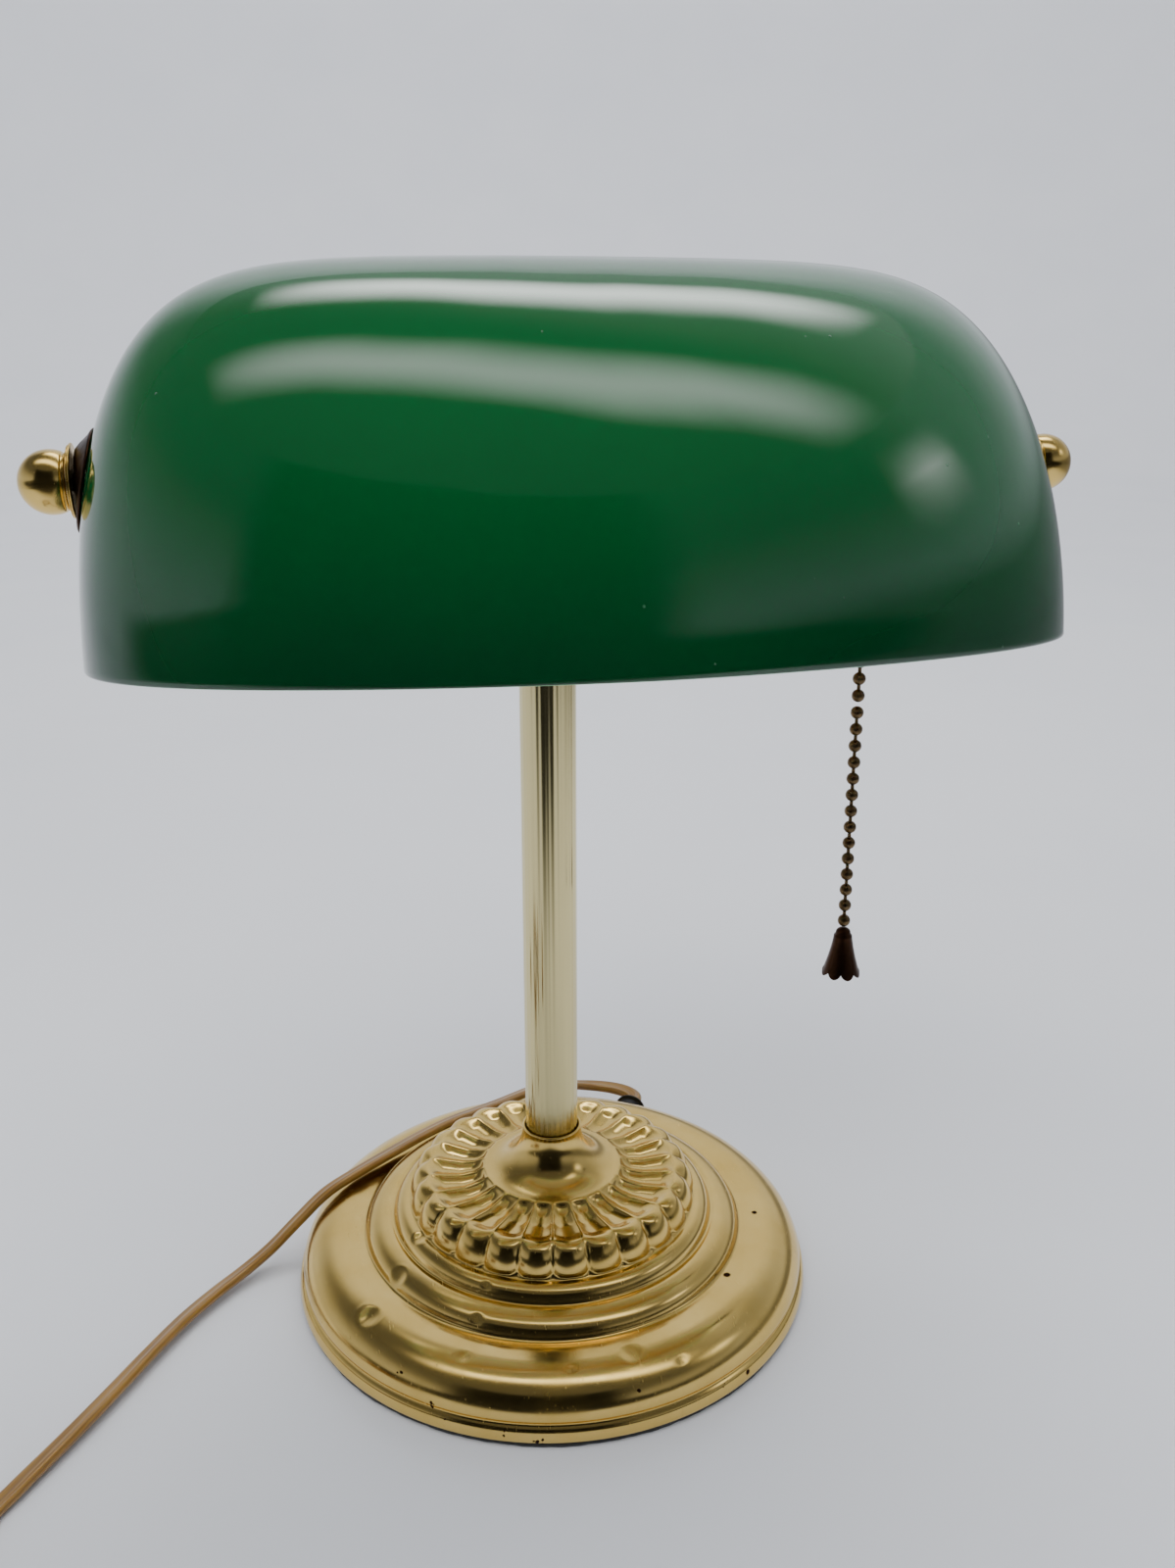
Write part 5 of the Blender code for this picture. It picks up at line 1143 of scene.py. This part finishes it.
PLUG_BACK = np.array((-197.6, -31.5, 7.0))
PLUG_HEADING = math.radians(49.5)


COIL_ENTRY = math.radians(-25.0)
COIL_LEAVE = math.radians(168.0)  # the turns end within 4 degrees of here, where the tail takes over


def coil_route(turns):
    """A spiral in two layers, clockwise seen from above: inwards at the bottom, then outwards on top of it."""
    share = np.linspace(0, 1, int(24 * turns))
    angle = COIL_ENTRY - TAU * turns * share
    lower = 4.0 / turns
    radius = np.where(share < lower, 35.2 - 8.7 * share / lower, 26.5 + 8.4 * (share - lower) / (1 - lower))
    climb = np.clip((share - lower + 0.02) / 0.045, 0, 1)
    height = 2.9 + 5.5 * climb ** 2 * (3 - 2 * climb)
    return np.column_stack((COIL_CENTRE[0] + radius * np.cos(angle), COIL_CENTRE[1] + radius * np.sin(angle), height))


def cord_path(length):
    """The route, then as many turns as the length leaves, then the tail to the plug.

    The turns stop at the first whole number of them that brings the path within 110 mm of the length.
    """
    for turns in np.arange(5.6, 8.6, 0.02):
        astray = math.degrees(COIL_ENTRY - TAU * turns - COIL_LEAVE) % 360
        if 4 < astray < 356:
            continue
        path = smooth_path(np.vstack((CORD_ROUTE, coil_route(turns), TAIL_ROUTE)), 1.6)
        if np.linalg.norm(np.diff(path, axis=0), axis=1).sum() > length / MM - 110:
            break
    return path


class LAMP_OT_cord(bpy.types.Operator):
    """Builds the cord with its bushing, coil and tie, and the plug on its end"""
    bl_idname = "lamp.cord"
    bl_label = "Cord and plug"

    def execute(self, context):
        lamp = settings(context)
        outward = (math.cos(EXIT_AZIMUTH), math.sin(EXIT_AZIMUTH), 0)
        profile = ringed([(2.9, 62.7), (3.9, 62.7), (3.9, 68.5), (5.1, 68.5), (4.5, 69.8), (2.9, 69.8)], 0.5)
        bushing = turned("tapered_bushing", profile, black_rubber(lamp), (0, 0, EXIT_HEIGHT), outward, 48)
        fit(bushing, "stand", ["cord_bushing"])

        path = cord_path(lamp.cord.length)
        walked = np.concatenate(([0], np.cumsum(np.linalg.norm(np.diff(path, axis=0), axis=1))))
        # The two conductors lie flat on the base and the far stretch, and stand on edge in the coil.
        ahead = np.gradient(path, axis=0)
        level = np.cross(ahead, UP)
        level /= np.linalg.norm(level, axis=1)[:, None]
        lean = np.radians(np.interp(walked, [0, 8, 40, 190, 250, 330, 345, 390], [60, 10, -20, -20, -5, 0, 0, 88]))
        side = level * np.cos(lean)[:, None] + UP * np.sin(lean)[:, None]
        half = lamp.cord.width / 4
        around = np.radians(np.linspace(-122, 122, 11))
        lobe = np.column_stack((half + half * np.cos(around), half * np.sin(around)))
        section = np.vstack((lobe, -lobe))
        girth = np.linspace(0, 0.0126, len(section) + 1)  # the way round the section, in metres
        cord = swept("flat_cord", path, section, side, amber_vinyl(lamp), uv=(walked * MM, girth))
        fit(cord, "stand", ["cord_lead", "cord_coil", "cord_tail"])

        # Tie: a strip round the turns, with rounded corners.
        angle = math.radians(250)
        out = np.array((math.cos(angle), math.sin(angle), 0.0))
        forward = np.array((-math.sin(angle), math.cos(angle), 0.0))
        spot = np.array((COIL_CENTRE[0], COIL_CENTRE[1], 0.0)) + out * 30.85 + (0, 0, 6.1)
        loop = ringed([(-6.1, -5.9), (6.1, -5.9), (6.1, 5.9), (-6.1, 5.9)], 3.2, 9)
        band_path = spot + loop[:, :1] * out + loop[:, 1:] * UP
        section = ringed([(-1.6, -0.3), (1.6, -0.3), (1.6, 0.3), (-1.6, 0.3)], 0.25)
        band = swept("tie_band", band_path, section, np.tile(forward, (len(band_path), 1)), black_rubber(lamp),
                     closed_ends=False, wrap=True)
        fit(band, "stand", ["cord_tie"])

        # Plug: a rounded body whose outline narrows to the cord, with three grip ridges on each side.
        heading = np.array((math.cos(PLUG_HEADING), math.sin(PLUG_HEADING), 0.0))
        across = np.array((-heading[1], heading[0], 0.0))
        s = np.linspace(0, 1, 60)
        width = 3.6 + 5.4 * np.clip(s / 0.32, 0, 1) ** 1.4 - 0.5 * np.clip((s - 0.9) / 0.1, 0, 1) ** 2
        width -= 0.35 * (0.5 + 0.5 * np.cos(TAU * (s - 0.45) / 0.1)) * (s > 0.38) * (s < 0.78)
        tall = 2.6 + 2.9 * np.clip(s / 0.3, 0, 1) ** 1.2 - 0.4 * np.clip((s - 0.9) / 0.1, 0, 1) ** 2
        t = np.arange(64) * TAU / 64
        u = np.sign(np.cos(t)) * np.abs(np.cos(t)) ** 0.6
        w = np.sign(np.sin(t)) * np.abs(np.sin(t)) ** 0.6
        centre = PLUG_BACK + s[:, None] * 26.0 * heading
        grid = centre[:, None] + (width[:, None] * u)[..., None] * across + (tall[:, None] * w)[..., None] * UP
        plug = surface("moulded_plug", grid, moulded_plug(lamp), start_pole=True, end_pole=True)
        fit(plug, "stand", ["plug_body"])
        for word, way in (("left", 1), ("right", -1)):
            shape = ringed([(0, -3.2), (16.6, -3.2), (17.5, -2.2), (17.5, 2.2), (16.6, 3.2), (0, 3.2)], 0.8)
            start = PLUG_BACK + heading * 26.3 + across * way * 6.35
            rows = []
            for shrink, lift in ((0.94, -0.75), (1.0, -0.6), (1.0, 0.6), (0.94, 0.75)):
                along = shape[:, :1] * shrink + (1 - shrink) * 8
                rows.append(start + along * heading + lift * across + shape[:, 1:] * shrink * UP)
            blade = surface(f"brass_blade_{word}", np.array(rows), satin_brass(lamp), start_pole=True, end_pole=True)
            hole = turned("hole_blade", [(0, -3), (1.5, -3), (1.5, 3), (0, 3)], satin_brass(lamp),
                          start + heading * 12.5, across, 24)
            fit(drilled(blade, [hole]), "stand", [f"plug_blade_{word}"])
        return {"FINISHED"}


# --- Stage ------------------------------------------------------------------------------------------------

def area_light(name, spot, target, width, length, power, tint="#FFFFFF", turn=0.0):
    """A soft panel at a spot, facing a target, with its length across the view."""
    data = bpy.data.lights.new(name, "AREA")
    data.shape, data.size, data.size_y, data.energy = "RECTANGLE", length, width, power
    data.color = linear(tint)[:3]
    lamp = bpy.data.objects.new(name, data)
    bpy.context.scene.collection.objects.link(lamp)
    lamp.location = spot
    lamp.rotation_euler = (Vector(spot) - Vector(target)).to_track_quat("Z", "Y").to_euler()
    lamp.rotation_euler.rotate_axis("Z", turn)
    lamp.visible_glossy = False
    return lamp


def soft_panel(name, centre, along, across, strength, fade):
    """A glowing sheet that only shiny pieces see, brightest in its middle and fading to nothing at its edges."""
    material = bpy.data.materials.new(name)
    material.use_nodes = True
    tree = material.node_tree
    tree.nodes.clear()
    place = add(tree, "ShaderNodeUVMap", {"uv_map": "surface"})
    split = add(tree, "ShaderNodeSeparateXYZ", inputs={"Vector": place.outputs["UV"]})
    fades = []
    for side, power in (("X", fade), ("Y", 2 * fade)):
        middle = add(tree, "ShaderNodeMath", {"operation": "MULTIPLY_ADD"}, {0: split.outputs[side], 1: 2.0, 2: -1.0})
        reach = add(tree, "ShaderNodeMath", {"operation": "ABSOLUTE"}, {0: middle.outputs["Value"]})
        steep = add(tree, "ShaderNodeMath", {"operation": "POWER"}, {0: reach.outputs["Value"], 1: power})
        fades.append(add(tree, "ShaderNodeMath", {"operation": "SUBTRACT", "use_clamp": True},
                         {0: 1.0, 1: steep.outputs["Value"]}))
    both = add(tree, "ShaderNodeMath", {"operation": "MULTIPLY"},
               {0: fades[0].outputs["Value"], 1: fades[1].outputs["Value"]})
    soft = add(tree, "ShaderNodeMath", {"operation": "POWER"}, {0: both.outputs["Value"], 1: 1.5})
    power = add(tree, "ShaderNodeMath", {"operation": "MULTIPLY"}, {0: soft.outputs["Value"], 1: strength})
    glow = add(tree, "ShaderNodeEmission", inputs={"Strength": power.outputs["Value"]})
    clear = add(tree, "ShaderNodeBsdfTransparent")
    total = add(tree, "ShaderNodeAddShader", inputs={0: glow.outputs["Emission"], 1: clear.outputs["BSDF"]})
    add(tree, "ShaderNodeOutputMaterial", inputs={"Surface": total.outputs["Shader"]})
    centre, along, across = (np.array(part, float) for part in (centre, along, across))
    grid = np.array([[centre + v * across + u * along for u in (-0.5, 0.5)] for v in (-0.5, 0.5)])
    panel = surface(name, grid, material, wrap_u=False, uv=(np.array([0.0, 1.0]), np.array([0.0, 1.0])))
    panel.visible_camera = panel.visible_diffuse = panel.visible_shadow = False
    return panel


class LAMP_OT_stage(bpy.types.Operator):
    """Builds the paper sweep, the soft lights, the sky and the camera"""
    bl_idname = "lamp.stage"
    bl_label = "Stage"

    def execute(self, context):
        lamp = settings(context)
        material, tree, shader = new_material("matt paper sweep", Roughness=0.75, Specular_IOR_Level=0.25)
        place = add(tree, "ShaderNodeTexCoord").outputs["Object"]
        cloth = add(tree, "ShaderNodeTexNoise", inputs={"Vector": place, "Scale": 7.0, "Detail": 3.0})
        mixed = add(tree, "ShaderNodeMix", {"data_type": "RGBA"},
                    {0: cloth.outputs["Fac"], 6: lamp.stage.floor, 7: linear("#DCDEE3")})
        # Shiny pieces see the sweep darker towards the front, as a dark room past an open tent, darker high up,
        # and darker low down on the right.
        split = add(tree, "ShaderNodeSeparateXYZ", inputs={"Vector": place})
        ahead = add(tree, "ShaderNodeVectorMath", {"operation": "DOT_PRODUCT"}, {0: place, 1: (-0.31, -0.95, 0.0)})
        aside = add(tree, "ShaderNodeVectorMath", {"operation": "DOT_PRODUCT"}, {0: place, 1: (0.95, -0.31, 0.0)})
        apart = add(tree, "ShaderNodeMath", {"operation": "ABSOLUTE"}, {0: aside.outputs["Value"]})
        # Near the lamp and high up the dark opens as a wedge; far along the floor it reaches right across.
        level = add(tree, "ShaderNodeCombineXYZ", inputs={"X": split.outputs["X"], "Y": split.outputs["Y"]})
        away = add(tree, "ShaderNodeVectorMath", {"operation": "LENGTH"}, {0: level.outputs["Vector"]})
        near = add(tree, "ShaderNodeMapRange", {"interpolation_type": "SMOOTHSTEP"},
                   {"Value": away.outputs["Value"], "From Min": 0.6, "From Max": 1.0, "To Min": -0.75, "To Max": 0.0})
        raised = add(tree, "ShaderNodeMapRange", {"interpolation_type": "SMOOTHSTEP"},
                     {"Value": split.outputs["Z"], "From Min": 0.2, "From Max": 0.9, "To Min": 0.0, "To Max": -1.0})
        wedge = add(tree, "ShaderNodeMath", {"operation": "MINIMUM"},
                    {0: near.outputs["Result"], 1: raised.outputs["Result"]})
        open_side = add(tree, "ShaderNodeMath", {"operation": "MULTIPLY_ADD"},
                        {0: apart.outputs["Value"], 1: wedge.outputs["Value"], 2: ahead.outputs["Value"]})
        stretch = add(tree, "ShaderNodeMapRange", {"interpolation_type": "SMOOTHSTEP"},
                      {"Value": away.outputs["Value"], "From Min": 0.5, "From Max": 1.3, "To Min": 1.0, "To Max": 0.35})
        reached = add(tree, "ShaderNodeMath", {"operation": "MULTIPLY"},
                      {0: open_side.outputs["Value"], 1: stretch.outputs["Result"]})
        front = add(tree, "ShaderNodeMapRange", {"interpolation_type": "SMOOTHSTEP"},
                    {"Value": reached.outputs["Value"], "From Min": 0.06, "From Max": 0.4, "To Min": 1.0, "To Max": 0.03})
        behind = add(tree, "ShaderNodeVectorMath", {"operation": "DOT_PRODUCT"}, {0: place, 1: (0.22, 0.25, 0.0)})
        dark = add(tree, "ShaderNodeMapRange", {"interpolation_type": "SMOOTHSTEP"},
                   {"Value": behind.outputs["Value"], "From Min": 0.1, "From Max": 0.6, "To Min": 0.22, "To Max": 0.75})
        high = add(tree, "ShaderNodeMapRange", {"interpolation_type": "SMOOTHSTEP"},
                   {"Value": split.outputs["Z"], "From Min": 0.4, "From Max": 2.2, "To Min": 1.0,
                    "To Max": dark.outputs["Result"]})
        right = add(tree, "ShaderNodeMapRange", {"interpolation_type": "SMOOTHSTEP"},
                    {"Value": split.outputs["X"], "From Min": 0.25, "From Max": 0.9, "To Min": 1.0, "To Max": 0.3})
        above = add(tree, "ShaderNodeMapRange", {"interpolation_type": "SMOOTHSTEP"},
                    {"Value": split.outputs["Z"], "From Min": 0.2, "From Max": 1.0, "To Min": 0.0, "To Max": 1.0})
        side = add(tree, "ShaderNodeMath", {"operation": "MAXIMUM"},
                   {0: right.outputs["Result"], 1: above.outputs["Result"]})
        high_side = add(tree, "ShaderNodeMath", {"operation": "MULTIPLY"},
                        {0: side.outputs["Value"], 1: high.outputs["Result"]})
        both = add(tree, "ShaderNodeMath", {"operation": "MULTIPLY"},
                   {0: front.outputs["Result"], 1: high_side.outputs["Value"]})
        sight = add(tree, "ShaderNodeLightPath")
        seen = add(tree, "ShaderNodeMix", {"data_type": "FLOAT"},
                   {0: sight.outputs["Is Glossy Ray"], 2: 1.0, 3: both.outputs["Value"]})
        dimmed = add(tree, "ShaderNodeVectorMath", {"operation": "SCALE"},
                     {0: mixed.outputs[2], "Scale": seen.outputs[0]})
        tree.links.new(dimmed.outputs["Vector"], shader.inputs["Base Color"])
        # A round sweep: a flat floor that curves up all round into a wall.
        curve = arc((2200, 900), (900, 900), -90, 0, 14)
        line = np.vstack(([(40, 0), (400, 0), (1400, 0)], curve, [(3100, 3200)]))
        t = np.arange(96) * TAU / 96
        grid = np.stack((line[:, :1] * np.cos(t), line[:, :1] * np.sin(t), line[:, 1:] * np.ones(96)), -1)
        sweep = surface("paper_sweep", grid - (0, 0, 0.02), material, start_pole=True)
        sweep.data.flip_normals()  # so that its faces point at the lamp

        # The sky lights everything evenly, but shiny pieces see it darker, as they would see a tent's roof.
        world = bpy.data.worlds.new("studio_air")
        world.use_nodes = True
        tree = world.node_tree
        sky = tree.nodes["Background"]
        sky.inputs["Color"].default_value = linear("#EDF0F5")
        sight = add(tree, "ShaderNodeLightPath")
        aim_at = add(tree, "ShaderNodeTexCoord").outputs["Generated"]
        back_sky = add(tree, "ShaderNodeVectorMath", {"operation": "DOT_PRODUCT"}, {0: aim_at, 1: (0.65, 0.75, 0.0)})
        roof = add(tree, "ShaderNodeMapRange", {"interpolation_type": "SMOOTHSTEP"},
                   {"Value": back_sky.outputs["Value"], "From Min": 0.1, "From Max": 0.6, "To Min": 0.14,
                    "To Max": 0.62})
        strength = add(tree, "ShaderNodeMix", {"data_type": "FLOAT"},
                       {0: sight.outputs["Is Glossy Ray"], 2: 0.8, 3: roof.outputs["Result"]})
        tree.links.new(strength.outputs[0], sky.inputs["Strength"])
        context.scene.world = world

        area_light("key_front", (-0.25, -0.45, 1.15), (0.0, 0.0, 0.15), 0.7, 0.9, 6.0)
        area_light("key_back", (0.35, 0.45, 1.20), (0.0, 0.0, 0.15), 0.7, 0.9, 6.0)
        area_light("wall_wash", (0.3, 1.3, 2.7), (0.4, 3.0, 1.3), 1.2, 2.4, 55.0)

        # Lamps of the tent's roof and walls, as shiny pieces see them.
        soft_panel("roof_strip_back", (150, 380, 1000), (960, -320, 0), (140, 350, 0), 6.8, 1.6)
        soft_panel("roof_strip_front", (30, -190, 1000), (1560, -500, 0), (110, 330, 0), 3.6, 1.6)
        soft_panel("wall_lamp_right", (1000, -400, 800), (160, 420, 0), (60, -40, 560), 2.6, 0.9)
        soft_panel("wall_lamp_left", (-1150, -120, 520), (0, 1500, 0), (0, 0, 1100), 0.1, 1.6)

        eye = bpy.data.cameras.new("eye")
        eye.sensor_width = 36.0
        eye.lens = lamp.stage.lens
        camera = bpy.data.objects.new("eye", eye)
        context.scene.collection.objects.link(camera)
        camera.location = (-0.0581, -0.3114, 0.2411)
        camera.rotation_euler = (math.radians(90 - 18.07), 0.0, math.radians(-12.29))
        eye.clip_start, eye.clip_end = 0.01, 50.0
        context.scene.camera = camera
        return {"FINISHED"}


# --- The add-on's panel and registration ------------------------------------------------------------------

class LampSettings(bpy.types.PropertyGroup):
    base: PointerProperty(type=LampBaseSettings)
    stem: PointerProperty(type=LampStemSettings)
    shade: PointerProperty(type=LampShadeSettings)
    fittings: PointerProperty(type=LampFittingSettings)
    cord: PointerProperty(type=LampCordSettings)
    stage: PointerProperty(type=LampStageSettings)


PIECES = (LAMP_OT_stage, LAMP_OT_cord, LAMP_OT_base, LAMP_OT_stem, LAMP_OT_shade, LAMP_OT_knobs, LAMP_OT_socket,
          LAMP_OT_chain)


class LAMP_PT_pieces(bpy.types.Panel):
    """Lists the lamp's pieces and their settings"""
    bl_idname = "LAMP_PT_pieces"
    bl_label = "Banker's Lamp"
    bl_space_type = "VIEW_3D"
    bl_region_type = "UI"
    bl_category = "Lamp"

    def draw(self, context):
        for group in ("base", "stem", "shade", "fittings", "cord", "stage"):
            box = self.layout.box()
            box.label(text=group.capitalize())
            values = getattr(settings(context), group)
            for name in values.bl_rna.properties.keys():
                if name not in ("rna_type", "name"):
                    box.prop(values, name)
        for piece in PIECES:
            self.layout.operator(piece.bl_idname)


GROUPS = (LampBaseSettings, LampStemSettings, LampShadeSettings, LampFittingSettings, LampCordSettings,
          LampStageSettings, LampSettings)


def register():
    for kind in GROUPS + PIECES + (LAMP_PT_pieces,):
        bpy.utils.register_class(kind)
    bpy.types.Scene.banker_lamp = PointerProperty(type=LampSettings)


def unregister():
    del bpy.types.Scene.banker_lamp
    for kind in reversed(GROUPS + PIECES + (LAMP_PT_pieces,)):
        bpy.utils.unregister_class(kind)


def main():
    register()
    for piece in PIECES:
        group, name = piece.bl_idname.split(".")
        getattr(getattr(bpy.ops, group), name)()


if __name__ == "__main__":
    main()
